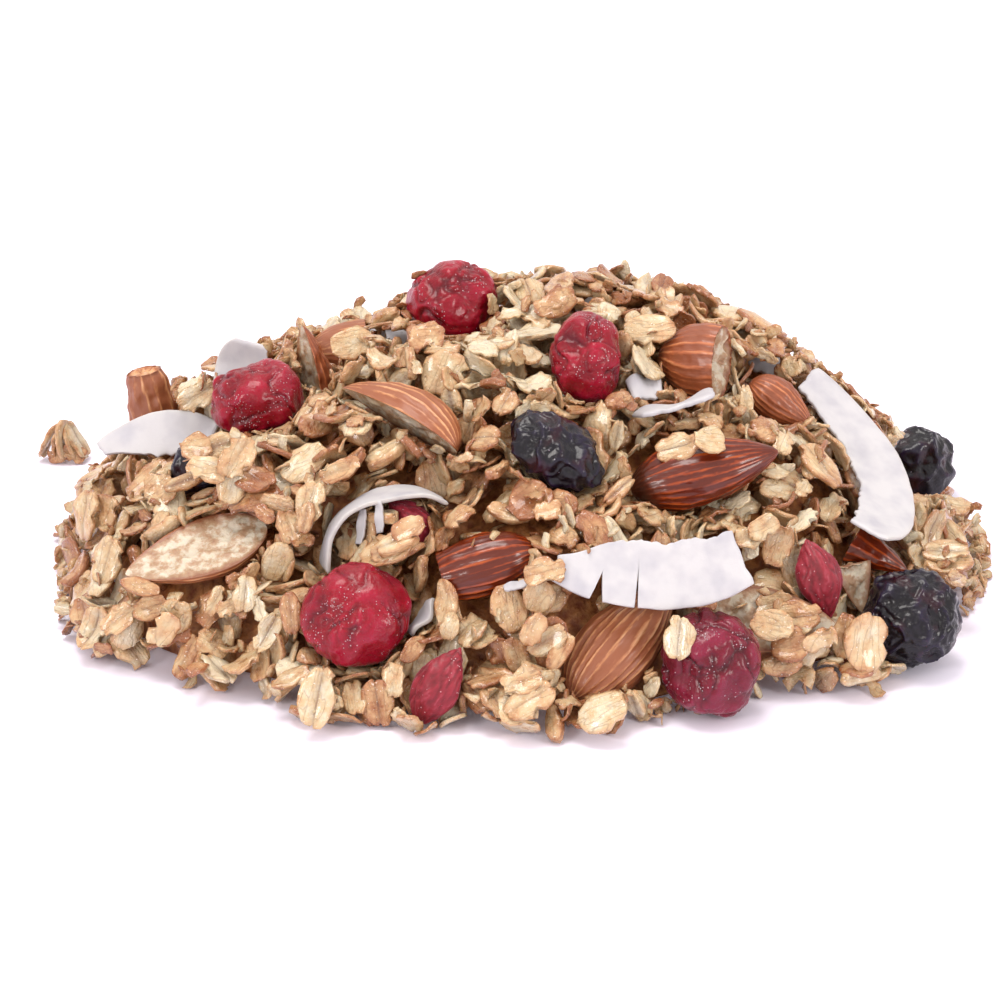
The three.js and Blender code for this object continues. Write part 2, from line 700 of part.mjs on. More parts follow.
/** A few flakes stuck together, lying beside the heap. */
function strayGeometry() {
  const random = randomFrom(strayCluster.seed);
  const solids = [];
  for (let i = 0; i < strayCluster.flakes; i += 1) {
    const polar = Math.PI * random();
    const bearing = 2 * Math.PI * random();
    const out = new THREE.Vector3().setFromSphericalCoords(strayCluster.spacing, polar, bearing);
    const turn = turnedTo([random() - 0.5, random() - 0.5, random()], out.toArray());
    solids.push(solidOf(oatFlake(random), turn.setPosition(out)));
  }
  return geometryOf(wasm.Manifold.union(solids));
}

const toppings = [];
const toppingSolids = [];
const coreSolid = solidOf(coreGeometry());
layout.forEach((spec) => addTopping(spec, coreSolid));

const granola = new THREE.Group();
const heapMesh = new THREE.Mesh(heapGeometry(coreSolid), finishes.oat);
heapMesh.name = "granola_heap";
const strayMesh = new THREE.Mesh(strayGeometry(), finishes.oat);
strayMesh.name = strayCluster.name;
strayMesh.geometry.computeBoundingBox();
strayMesh.position.set(...strayCluster.at, -strayMesh.geometry.boundingBox.min.z);
granola.add(heapMesh, strayMesh, ...toppings);

export default granola;
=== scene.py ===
"""A heap of honey-baked granola as it lies on a table.

Some two thousand rolled oat flakes in loose clusters, with roasted almonds, sugared cherries, dark
dried berries, goji berries and coconut chips on and in them. Every piece is built in millimetres
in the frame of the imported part: +Z up, +X to the right, +Y away from the camera.
"""

import logging
import math
from collections.abc import Sequence
from dataclasses import dataclass, field, replace
from enum import Enum

import bmesh
import bpy
import numpy as np
from mathutils import Euler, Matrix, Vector

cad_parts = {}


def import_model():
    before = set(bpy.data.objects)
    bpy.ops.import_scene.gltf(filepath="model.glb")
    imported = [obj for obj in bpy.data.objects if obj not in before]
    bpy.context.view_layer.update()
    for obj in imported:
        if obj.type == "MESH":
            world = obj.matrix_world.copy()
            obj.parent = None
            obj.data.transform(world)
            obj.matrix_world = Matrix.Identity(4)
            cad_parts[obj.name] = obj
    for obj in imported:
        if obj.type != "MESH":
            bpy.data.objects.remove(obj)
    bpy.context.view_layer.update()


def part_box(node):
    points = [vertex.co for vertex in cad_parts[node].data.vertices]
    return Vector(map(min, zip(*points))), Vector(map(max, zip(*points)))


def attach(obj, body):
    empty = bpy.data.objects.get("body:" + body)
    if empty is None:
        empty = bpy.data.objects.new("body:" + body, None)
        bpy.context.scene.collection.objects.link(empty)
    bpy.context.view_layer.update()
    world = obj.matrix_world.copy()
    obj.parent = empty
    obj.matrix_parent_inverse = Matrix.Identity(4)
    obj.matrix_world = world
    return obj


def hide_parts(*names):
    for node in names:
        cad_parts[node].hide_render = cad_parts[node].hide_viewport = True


LOG = logging.getLogger("granola")
MM = 0.001  # metres in a millimetre
BODY = "root"

Triple = tuple[float, float, float]
Span = tuple[float, float]


# ------------------------ arrays and noise


def unit(vector: Sequence[float] | np.ndarray) -> np.ndarray:
    """The vector, or each row of an array of them, at length 1."""
    rows = np.asarray(vector, dtype=float)
    return rows / np.linalg.norm(rows, axis=-1, keepdims=True)


def turned_to(along: Sequence[float], face: Sequence[float]) -> np.ndarray:
    """Rotation that turns +X to one direction and +Z as near as it can to another.

    Args:
        along: Where the piece's length runs.
        face: Where the piece's upper side faces.

    Returns:
        A 3 x 3 rotation matrix.
    """
    x = unit(along)
    y = unit(np.cross(face, x))
    return np.stack((x, y, np.cross(x, y)), axis=1)


class Relief:
    """Smooth seeded noise in space, the same in each run."""

    def __init__(self, seed: int) -> None:
        """Draws the noise's slopes from a seed."""
        rng = np.random.default_rng(seed)
        self.order = rng.permutation(256)
        self.slopes = unit(rng.normal(size=(256, 3)))

    def at(self, points: np.ndarray) -> np.ndarray:
        """Noise of about -1 to 1 with features one unit apart.

        Args:
            points: An n x 3 array of places.

        Returns:
            The noise at each place.
        """
        cell = np.floor(points).astype(int)
        inside = points - cell
        ease = inside**3 * (inside * (6 * inside - 15) + 10)
        total = np.zeros(len(points))
        for corner in np.ndindex(2, 2, 2):
            x, y, z = (cell + corner).T % 256
            key = self.order[(self.order[(self.order[x] + y) % 256] + z) % 256]
            share = np.where(corner, ease, 1 - ease).prod(axis=1)
            total += share * ((inside - corner) * self.slopes[key]).sum(axis=1)
        return 1.5 * total

    def layered(self, points: np.ndarray, layers: int) -> np.ndarray:
        """Noise with finer noise on it, each layer half the size and half the strength."""
        return sum(self.at(points * 2**k + 7.3 * k) / 2**k for k in range(layers))

    def lines(self, points: np.ndarray, width: float) -> np.ndarray:
        """Winding lines, as wide as a share of the noise's height: 1 on a line, 0 away from it."""
        return np.exp(-((self.at(points) / width) ** 2))


@dataclass
class Skin:
    """The closed surface of a piece, in millimetres.

    marks holds four shares for each point, which the finishes read, and grain the point's place
    along and across its own piece. second is true for each triangle that has the second finish.
    """

    points: np.ndarray
    triangles: np.ndarray
    marks: np.ndarray
    grain: np.ndarray
    second: np.ndarray

    def moved(self, turn: np.ndarray, place: np.ndarray, size: float = 1.0) -> "Skin":
        """The same skin scaled, turned and moved."""
        return replace(self, points=(self.points * size) @ turn.T + place)

    def raised_to(self, name: str, finishes: Sequence["Finish"]) -> bpy.types.Object:
        """Makes a Blender object of the skin.

        Args:
            name: The object's name.
            finishes: The first finish and, where some triangles have a second, that one too.

        Returns:
            The new object, in metres, linked into the scene.
        """
        mesh = bpy.data.meshes.new(name)
        mesh.vertices.add(len(self.points))
        mesh.vertices.foreach_set("co", (self.points * MM).astype(np.float32).ravel())
        count = len(self.triangles)
        mesh.loops.add(3 * count)
        mesh.loops.foreach_set("vertex_index", self.triangles.astype(np.int32).ravel())
        mesh.polygons.add(count)
        mesh.polygons.foreach_set("loop_start", np.arange(0, 3 * count, 3, dtype=np.int32))
        mesh.polygons.foreach_set("material_index", self.second.astype(np.int32))
        marks = mesh.attributes.new("marks", "FLOAT_COLOR", "POINT")
        marks.data.foreach_set("color", self.marks.astype(np.float32).ravel())
        grain = mesh.attributes.new("grain", "FLOAT_VECTOR", "POINT")
        grain.data.foreach_set("vector", self.grain.astype(np.float32).ravel())
        mesh.update(calc_edges=True)
        mesh.validate()
        mesh.shade_smooth()
        for finish in finishes:
            mesh.materials.append(finish.material())
        piece = bpy.data.objects.new(name, mesh)
        bpy.context.scene.collection.objects.link(piece)
        return piece


def joined(skins: Sequence[Skin]) -> Skin:
    """One skin that holds all the given ones."""
    starts = np.cumsum([0] + [len(s.points) for s in skins[:-1]])
    return Skin(
        points=np.concatenate([s.points for s in skins]),
        triangles=np.concatenate([s.triangles + k for s, k in zip(skins, starts)]),
        marks=np.concatenate([s.marks for s in skins]),
        grain=np.concatenate([s.grain for s in skins]),
        second=np.concatenate([s.second for s in skins]),
    )


def plain(points: np.ndarray, triangles: np.ndarray) -> Skin:
    """A skin whose grain is its own points and whose marks are all nought."""
    return Skin(
        points=points,
        triangles=triangles,
        marks=np.zeros((len(points), 4)),
        grain=points.copy(),
        second=np.zeros(len(triangles), dtype=bool),
    )


def lid(rows: int, columns: int) -> np.ndarray:
    """Triangles over a grid of points that is rows x columns, counterclockwise from above."""
    corner = np.arange(rows - 1)[:, None] * columns + np.arange(columns - 1)
    a = corner.ravel()
    below = np.stack((a, a + columns, a + columns + 1), axis=1)
    above = np.stack((a, a + columns + 1, a + 1), axis=1)
    return np.concatenate((below, above))


def sandwich(rows: int, columns: int) -> np.ndarray:
    """Triangles of a thin slab whose upper grid of points comes first and the lower one after."""
    under = rows * columns
    top = lid(rows, columns)
    ring = np.concatenate(
        (
            np.arange(columns - 1),
            np.arange(rows - 1) * columns + columns - 1,
            (rows - 1) * columns + np.arange(columns - 1, 0, -1),
            np.arange(rows - 1, 0, -1) * columns,
        )
    )
    after = np.roll(ring, -1)
    first = np.stack((ring, after, after + under), axis=1)
    second = np.stack((ring, after + under, ring + under), axis=1)
    return np.concatenate((top, top[:, ::-1] + under, first, second))


def ringed(rings: np.ndarray) -> tuple[np.ndarray, np.ndarray]:
    """Closes a line of rings into a skin, with a pole at each end.

    Args:
        rings: A rings x sides x 3 array of points; the sides run counterclockwise seen from +X.

    Returns:
        The points, and the triangles: each ring's squares in two halves, then the two caps.
    """
    count, sides = rings.shape[:2]
    poles = rings[[0, -1]].mean(axis=1)
    points = np.concatenate((rings.reshape(-1, 3), poles))
    ring, side = np.meshgrid(np.arange(count - 1), np.arange(sides), indexing="ij")
    a = (ring * sides + side).ravel()
    b = (ring * sides + (side + 1) % sides).ravel()
    flat = np.stack((a, b, b + sides), axis=1), np.stack((a, b + sides, a + sides), axis=1)
    turn = np.arange(sides)
    first = np.stack((np.full(sides, count * sides), (turn + 1) % sides, turn), axis=1)
    end = (count - 1) * sides
    last = np.stack((np.full(sides, count * sides + 1), end + turn, end + (turn + 1) % sides), axis=1)
    return points, np.concatenate((*flat, first, last))


def ball(subdivisions: int) -> tuple[np.ndarray, np.ndarray]:
    """Points and triangles of a ball of radius 1."""
    shell = bmesh.new()
    bmesh.ops.create_icosphere(shell, subdivisions=subdivisions, radius=1.0)
    points = np.array([v.co[:] for v in shell.verts])
    triangles = np.array([[v.index for v in f.verts] for f in shell.faces])
    shell.free()
    return points, triangles


# ------------------------ finishes

Socket = bpy.types.NodeSocket


def linear(colour: str) -> tuple[float, float, float, float]:
    """Turns an sRGB hex colour such as "#F0DCA8" to linear light, with full cover."""
    shares = [int(colour[k : k + 2], 16) / 255 for k in (1, 3, 5)]
    return (*(s / 12.92 if s <= 0.04045 else ((s + 0.055) / 1.055) ** 2.4 for s in shares), 1.0)


class Nodes:
    """The nodes of one material, with the marks and the grain that they read from a skin."""

    def __init__(self, tree: bpy.types.NodeTree) -> None:
        """Starts with the nodes that read the skin."""
        self.tree = tree
        marks = self.add("Attribute", {"attribute_name": "marks"})
        shares = self.add("SeparateColor", links={"Color": marks.outputs["Color"]})
        self.red, self.green, self.blue = shares.outputs
        self.grain = self.add("Attribute", {"attribute_name": "grain"}).outputs["Vector"]

    def add(
        self,
        kind: str,
        settings: dict[str | int, object] | None = None,
        links: dict[str | int, Socket] | None = None,
    ) -> bpy.types.Node:
        """Adds a node with its settings and links.

        Args:
            kind: The node's type, without the words ShaderNode in front.
            settings: Values by the name of a property, or by the name or number of an input.
            links: Output sockets by the name or number of the input that each goes to.

        Returns:
            The new node.
        """
        made = self.tree.nodes.new(f"ShaderNode{kind}")
        for key, value in (settings or {}).items():
            if isinstance(key, str) and key.islower():
                setattr(made, key, value)
            else:
                made.inputs[key].default_value = value
        for key, source in (links or {}).items():
            self.tree.links.new(source, made.inputs[key])
        return made

    def math(self, operation: str, *terms: float | Socket) -> Socket:
        """Works something out of terms, each a number or the output socket of a node."""
        numbers = {place: term for place, term in enumerate(terms) if isinstance(term, float)}
        sockets = {place: term for place, term in enumerate(terms) if place not in numbers}
        return self.add("Math", {"operation": operation, **numbers}, sockets).outputs[0]

    def noise(self, place: Socket, scale: float, detail: float, **settings: float) -> Socket:
        """Noise of about 0 to 1, with its features to a millimetre and its layers of detail."""
        inputs = {"Scale": scale, "Detail": detail, **settings}
        return self.add("TexNoise", inputs, {"Vector": place}).outputs[0]

    def lengthwise(self) -> Socket:
        """The grain drawn out along the piece, so that noise read there runs lengthwise."""
        drawn_out = {"operation": "MULTIPLY", 1: (0.2, 1.0, 1.0)}
        return self.add("VectorMath", drawn_out, {0: self.grain}).outputs[0]

    def ranged(self, value: Socket, ends: Span, become: Span, **settings: str) -> Socket:
        """Turns a range of values into another, and holds what lies outside at its ends."""
        inputs = {"From Min": ends[0], "From Max": ends[1], "To Min": become[0], "To Max": become[1]}
        return self.add("MapRange", {**inputs, **settings}, {"Value": value}).outputs[0]

    def ramp(self, share: Socket, *stops: tuple[float, str]) -> Socket:
        """Turns a share to a colour.

        Args:
            share: What picks the colour.
            stops: Shares, from 0 to 1, and the sRGB hex colour at each.

        Returns:
            The socket with the colour.
        """
        made = self.add("ValToRGB", links={"Fac": share})
        elements = made.color_ramp.elements
        while len(elements) < len(stops):
            elements.new(1.0)
        for element, (place, colour) in zip(elements, stops):
            element.position = place
            element.color = linear(colour)
        return made.outputs[0]

    def stain(self, share: Socket, body: Socket, stain: str) -> Socket:
        """Covers a colour with another, an sRGB hex colour, by a share."""
        mix = self.add("Mix", {"data_type": "RGBA", 7: linear(stain)}, {0: share, 6: body})
        return mix.outputs[2]

    def bump(self, height: Socket, strength: float, depth: float) -> Socket:
        """Shades the surface as if it stood out by a height, times a depth in millimetres."""
        inputs = {"Strength": strength, "Distance": depth * MM}
        return self.add("Bump", inputs, {"Height": height}).outputs[0]


@dataclass(frozen=True)
class Finish:
    """What the finishes share: a name, and a material made once from it."""

    name: str

    def material(self) -> bpy.types.Material:
        """The finish's material, made when it is first asked for."""
        found = bpy.data.materials.get(self.name)
        if found:
            return found
        made = bpy.data.materials.new(self.name)
        made.use_nodes = True
        made.node_tree.nodes.clear()
        nodes = Nodes(made.node_tree)
        nodes.add("OutputMaterial", links={"Surface": self.surface(nodes).outputs[0]})
        return made

    def surface(self, nodes: Nodes) -> bpy.types.Node:
        """Adds the nodes of the surface and returns its shader."""
        raise NotImplementedError


@dataclass(frozen=True)
class BakedOat(Finish):
    """Rolled oats, steamed flat, coated with honey and oil and baked.

    The flake is cream to amber, browner in patches where the honey ran together and along the
    crease of the grain, with fine bran lines along it. The dried honey follows every wrinkle, so
    that the flake glitters. Its wrinkles are drawn in dark lines, which are painted shade. Small bright
    points mixed into its colour are a painted highlight for the glints.
    """

    cream: str = "#D8CAAE"
    straw: str = "#CEB48C"
    amber: str = "#C69E72"
    brown: str = "#B07C50"
    dark: str = "#985C34"
    # The crease colour darkens the crease of the grain, and also paints the shade in the wrinkles.
    crease: str = "#5E2C18"
    # Painted highlight: the near-white of the glints, mixed into the flake's colour.
    painted_glint: str = "#FFF6EA"
    glint_spacing: float = 0.3  # mm from one spot of the noise that picks the painted glints to the next
    bran_line: float = 0.35  # mm from one bran line to the next
    # The wrinkles are drawn as dark lines, which are painted shade.
    wrinkle_shade_spacing: float = 1.3  # mm from one dark wrinkle to the next, across the flake
    wrinkle_shade_strength: float = 0.45
    blotch: float = 2.4  # mm across a browner patch
    fleck: float = 0.7  # mm across a small fleck or wrinkle
    rim_toast: float = 0.3  # how much browner the thin rim is baked
    rim_power: float = 5.0  # more keeps the browner rim narrower
    relief: float = 0.46  # mm that the wrinkles and bran lines stand out
    roughness: Span = (0.24, 0.5)
    glaze: float = 0.7

    def surface(self, nodes: Nodes) -> bpy.types.Node:
        """Adds the nodes of the surface and returns its shader."""
        lines = nodes.noise(nodes.lengthwise(), 1 / self.bran_line, 2.0)
        patches = nodes.noise(nodes.grain, 1 / self.blotch, 3.0)
        flecks = nodes.noise(nodes.grain, 1 / self.fleck, 4.0, Roughness=0.6)
        toast = nodes.red
        for noise, strength in ((lines, 0.16), (patches, 1.15), (flecks, 0.5)):
            part = nodes.math("MULTIPLY_ADD", noise, strength, -strength / 2)
            toast = nodes.math("ADD", part, toast)
        rim = nodes.math("POWER", nodes.green, self.rim_power)
        toast = nodes.math("MULTIPLY_ADD", rim, self.rim_toast, toast)
        body = nodes.ramp(
            toast, (0.08, self.cream), (0.32, self.straw), (0.56, self.amber), (0.8, self.brown),
            (1.0, self.dark),
        )
        # Dark lines along the sunk wrinkles, drawn in the crease colour, are painted shade.
        winding = nodes.noise(nodes.lengthwise(), 1 / self.wrinkle_shade_spacing, 1.0, Distortion=0.4)
        distance = nodes.math("ABSOLUTE", nodes.math("SUBTRACT", winding, 0.5))
        wrinkle_shade = nodes.ranged(distance, (0.0, 0.03), (self.wrinkle_shade_strength, 0.0))
        furrow = nodes.math("MULTIPLY", nodes.math("MAXIMUM", nodes.blue, wrinkle_shade), 0.75)
        creased = nodes.stain(furrow, body, self.crease)
        # Small bright points mixed into the colour are a painted highlight for the glints on the glaze.
        glint_noise = nodes.noise(nodes.grain, 1 / self.glint_spacing, 1.0)
        painted_glint_share = nodes.ranged(glint_noise, (0.7, 0.76), (0.0, 0.8))
        sunk = nodes.math("MULTIPLY_ADD", wrinkle_shade, -0.35, flecks)
        height = nodes.math("MULTIPLY_ADD", lines, 0.3, sunk)
        return nodes.add(
            "BsdfPrincipled",
            {
                "Coat Weight": self.glaze, "Coat Roughness": 0.1,
                "Subsurface Weight": 0.24, "Subsurface Radius": (1.0, 0.7, 0.45),
                "Subsurface Scale": 1.0 * MM,
            },
            {
                "Base Color": nodes.stain(painted_glint_share, creased, self.painted_glint),
                "Roughness": nodes.ranged(patches, (0.35, 0.65), self.roughness[::-1]),
                "Normal": nodes.bump(height, 1.0, self.relief),
            },
        )


@dataclass(frozen=True)
class HoneyCrumb(Finish):
    """The inside of the heap: fine oat crumb and caramelised honey, baked dark.

    It is seen only in the gaps between the flakes, where it is brown and shaded.
    """

    deep: str = "#7C3E1A"
    crumb: str = "#BE8048"
    crumb_size: float = 1.6  # mm across a crumb
    relief: float = 0.8  # mm that the crumbs stand out

    def surface(self, nodes: Nodes) -> bpy.types.Node:
        """Adds the nodes of the surface and returns its shader."""
        crumbs = nodes.noise(nodes.grain, 1 / self.crumb_size, 4.0)
        return nodes.add(
            "BsdfPrincipled", {"Roughness": 0.5},
            {
                "Base Color": nodes.ramp(crumbs, (0.35, self.deep), (0.7, self.crumb)),
                "Normal": nodes.bump(crumbs, 1.0, self.relief),
            },
        )


@dataclass(frozen=True)
class AlmondSkin(Finish):
    """The brown skin of a roasted almond, dry and papery, with ribs along the nut.

    The ribs' crests are dusty tan and the furrows dark. Where honey has run over it, the skin is
    red-brown and shines.
    """

    crest: str = "#D6A67E"
    slope: str = "#B67A50"
    furrow: str = "#8E5030"
    # Painted shadow: the dark laid on the blunt end of an almond that lies in shade, and a little on
    # the thin tips.
    end_shadow: str = "#3A1A10"
    roughness: float = 0.5
    glaze: float = 0.15
    mirror: float = 0.5  # strength of the skin's own reflection under its glaze
    fibre: float = 0.35  # mm between the fine fibres of the skin
    patch_scale: float = 0.3  # patches of another brown to a millimetre

    def surface(self, nodes: Nodes) -> bpy.types.Node:
        """Adds the nodes of the surface and returns its shader."""
        fibres = nodes.noise(nodes.lengthwise(), 1 / self.fibre, 3.0)
        patches = nodes.noise(nodes.grain, self.patch_scale, 4.0)
        depth = nodes.math("MULTIPLY_ADD", fibres, 0.7, -0.35)
        depth = nodes.math("MULTIPLY_ADD", patches, 0.7, depth)
        depth = nodes.math("MULTIPLY_ADD", nodes.red, 0.8, depth)
        body = nodes.ramp(depth, (0.2, self.crest), (0.72, self.slope), (1.0, self.furrow))
        return nodes.add(
            "BsdfPrincipled",
            {
                "Roughness": self.roughness, "Coat Weight": self.glaze, "Coat Roughness": 0.14,
                "Specular IOR Level": self.mirror,
                "Subsurface Weight": 0.08, "Subsurface Radius": (1.0, 0.4, 0.2),
                "Subsurface Scale": 0.8 * MM,
            },
            {
                # The second mark darkens the skin with the colour of the painted shadow.
                "Base Color": nodes.stain(nodes.green, body, self.end_shadow),
                "Normal": nodes.bump(fibres, 0.5, 0.14),
            },
        )


@dataclass(frozen=True)
class AlmondFlesh(Finish):
    """The kernel of a roasted almond where it is split or broken.

    It is waxy and cream, tan in patches and brown at its rim, with light going a little way in.
    """

    cream: str = "#C4B8A4"
    tan: str = "#A68668"
    brown: str = "#865438"
    patch: float = 1.8  # mm across a browned patch

    def surface(self, nodes: Nodes) -> bpy.types.Node:
        """Adds the nodes of the surface and returns its shader."""
        patches = nodes.noise(nodes.grain, 1 / self.patch, 5.0, Roughness=0.6)
        tone = nodes.math("MULTIPLY_ADD", nodes.blue, 0.75, patches)
        colour = nodes.ramp(tone, (0.43, self.cream), (0.56, self.tan), (0.85, self.brown))
        return nodes.add(
            "BsdfPrincipled",
            {
                "Roughness": 0.42, "Coat Weight": 0.2, "Coat Roughness": 0.2,
                "Subsurface Weight": 0.25, "Subsurface Radius": (1.0, 0.6, 0.3),
                "Subsurface Scale": 1.5 * MM,
            },
            {"Base Color": colour, "Normal": nodes.bump(patches, 0.8, 0.6)},
        )


@dataclass(frozen=True)
class FruitSkin(Finish):
    """The skin of a dried fruit, shrunk into folds.

    A sugared cherry is clear crimson with grains of sugar in its folds. A dark berry is blue-black,
    red where light comes through, and shines on its folds. A goji berry is dull red with fine pale
    lines. Each skin runs from its fold colour in the creases to its crest colour on the bumps. This is
    painted shade in the folds and a painted highlight on the crests, pinker on a cherry.
    """

    # The fold and crest colours end a ramp keyed on the skin's height: painted shade in the folds and a
    # painted highlight on the crests.
    fold: str
    body: str
    crest: str
    patch: str
    sparkle: str
    roughness: float
    glaze: float
    depth_light: float  # share of the light that goes into the flesh
    light_reach: float  # mm that red light goes into the flesh
    sugar: float  # share of the skin with grains of sugar on it
    grain_size: float = 0.36  # mm across a grain of sugar
    pore: float = 1.1  # mm between the skin's finest wrinkles
    wrinkle: float = 0.65  # mm that those wrinkles are deep
    mirror: float = 0.5  # strength of the skin's own reflection under its glaze
    patch_share: float = 0.3
    patch_scale: float = 0.22  # patches to a millimetre
    bloom: float = 0.0  # share of dull sugar haze that shows where the skin turns away
    bloom_tint: str = "#F0B8C8"

    def surface(self, nodes: Nodes) -> bpy.types.Node:
        """Adds the nodes of the surface and returns its shader."""
        pores = nodes.noise(nodes.grain, 1 / self.pore, 3.0, Roughness=0.6)
        clouds = nodes.noise(nodes.grain, self.patch_scale, 3.0)
        # Darker in the folds and lighter on the crests: painted shade and painted highlight.
        tone = nodes.math("MULTIPLY_ADD", pores, 0.3, nodes.red)
        body = nodes.ramp(tone, (0.25, self.fold), (0.7, self.body), (1.0, self.crest))
        patchy = nodes.ranged(
            clouds, (0.52, 0.66), (0.0, self.patch_share), interpolation_type="SMOOTHSTEP"
        )
        tinted = nodes.stain(patchy, body, self.patch)
        grains = nodes.add("TexVoronoi", {"Scale": 1 / self.grain_size}, {"Vector": nodes.grain})
        chosen = nodes.add("SeparateColor", links={"Color": grains.outputs["Color"]})
        sticky = nodes.math("MULTIPLY", nodes.green, self.sugar)
        kept = nodes.math("LESS_THAN", chosen.outputs["Red"], sticky)
        near = nodes.ranged(grains.outputs["Distance"], (0.2, 0.38), (1.0, 0.0))
        specks = nodes.math("MULTIPLY", kept, near)
        sugared = nodes.math("MULTIPLY", specks, 0.55)
        height = nodes.math("MULTIPLY_ADD", specks, 1.2, pores)
        return nodes.add(
            "BsdfPrincipled",
            {
                "Roughness": self.roughness, "Coat Weight": self.glaze, "Coat Roughness": 0.1,
                "Specular IOR Level": self.mirror, "Subsurface Weight": self.depth_light,
                "Subsurface Radius": (1.0, 0.14, 0.14), "Subsurface Scale": self.light_reach * MM,
                "Sheen Weight": self.bloom, "Sheen Roughness": 0.4,
                "Sheen Tint": linear(self.bloom_tint),
            },
            {
                "Base Color": nodes.stain(sugared, tinted, self.sparkle),
                "Normal": nodes.bump(height, 0.8, self.wrinkle),
            },
        )


@dataclass(frozen=True)
class CoconutFlesh(Finish):
    """Dried coconut, sliced thin: dense, white and a little clear, with a cream line at its rind."""

    white: str = "#BEBCBF"
    cool: str = "#AAA8B0"
    rind: str = "#B4A88C"
    fibre: float = 0.5  # mm between fibres, drawn coarser than real so that they show
    cloud_scale: float = 0.25  # cooler clouds to a millimetre

    def surface(self, nodes: Nodes) -> bpy.types.Node:
        """Adds the nodes of the surface and returns its shader."""
        fibres = nodes.noise(nodes.grain, 1 / self.fibre, 4.0, Roughness=0.65)
        clouds = nodes.noise(nodes.grain, self.cloud_scale, 2.0)
        body = nodes.ramp(clouds, (0.4, self.white), (0.75, self.cool))
        return nodes.add(
            "BsdfPrincipled",
            {
                "Roughness": 0.55, "Subsurface Weight": 0.3, "Subsurface Radius": (1.0, 0.9, 0.9),
                "Subsurface Scale": 1.2 * MM,
            },
            {
                "Base Color": nodes.stain(nodes.red, body, self.rind),
                "Normal": nodes.bump(fibres, 0.35, 0.12),
            },
        )


@dataclass(frozen=True)
class TableTop(Finish):
    """The bare white surface: smooth, matt and pale all over."""

    white: str = "#F3EFFF"

    def surface(self, nodes: Nodes) -> bpy.types.Node:
        """Adds the nodes of the surface and returns its shader."""
        return nodes.add("BsdfPrincipled", {"Base Color": linear(self.white), "Roughness": 0.9})


OAT = BakedOat("baked_oat_honey_glaze")
CRUMB = HoneyCrumb("caramelised_oat_crumb")
ALMOND = AlmondSkin("roasted_almond_skin_dry")
ALMOND_RED = AlmondSkin(
    "roasted_almond_skin_reddish", crest="#CC8C5C", slope="#AC5E36", furrow="#82401F", glaze=0.3
)
ALMOND_GLAZED = AlmondSkin(
    "roasted_almond_skin_honeyed", crest="#B0541E", slope="#8C3610", furrow="#581A06",
    roughness=0.3, glaze=0.5, mirror=0.25,
)
FLESH = AlmondFlesh("roasted_almond_kernel")
FLESH_BROWNED = AlmondFlesh(
    "roasted_almond_kernel_browned", cream="#CFA074", tan="#A86A42", brown="#7A3E20"
)
CHERRY = FruitSkin(
    "sugared_cherry_skin", fold="#5C0012", body="#820018", crest="#9C1030", patch="#941C3A",
    sparkle="#F8DDE6", roughness=0.28, glaze=0.3, mirror=0.2, wrinkle=0.42, depth_light=0.3,
    light_reach=1.8, sugar=0.45, bloom=0.08,
)
WINE_CHERRY = replace(
    CHERRY, name="sugared_cherry_skin_deep", fold="#440412", body="#660820", crest="#7E1C38",
    patch="#721834",
)
DARK_BERRY = FruitSkin(
    "dark_berry_skin", fold="#040106", body="#0B0514", crest="#201630", patch="#4A1020",
    sparkle="#B8B4C8", roughness=0.28, glaze=0.36, mirror=0.2, patch_share=0.24, depth_light=0.1,
    light_reach=1.0, sugar=0.03, pore=0.9, wrinkle=0.3,
)
GOJI = FruitSkin(
    "goji_berry_skin", fold="#640E1A", body="#8A1C2C", crest="#A84A5A", patch="#942838",
    sparkle="#F2C8D0", roughness=0.5, glaze=0.1, mirror=0.35, depth_light=0.25, light_reach=1.2,
    sugar=0.12, pore=0.5, wrinkle=0.15, bloom=0.3,
)
COCONUT = CoconutFlesh("dried_coconut_flesh")
TABLE = TableTop("white_table_top")


# ------------------------ the heap's form


@dataclass(frozen=True)
class Bump:
    """A place where the heap stands higher, or lower if rise is less than nought."""

    x: float
    y: float
    rise: float
    spread: float

    def at(self, x: np.ndarray, y: np.ndarray) -> np.ndarray:
        """How much it raises the surface at each place."""
        away = (x - self.x) ** 2 + (y - self.y) ** 2
        return self.rise * np.exp(-away / (2 * self.spread**2))


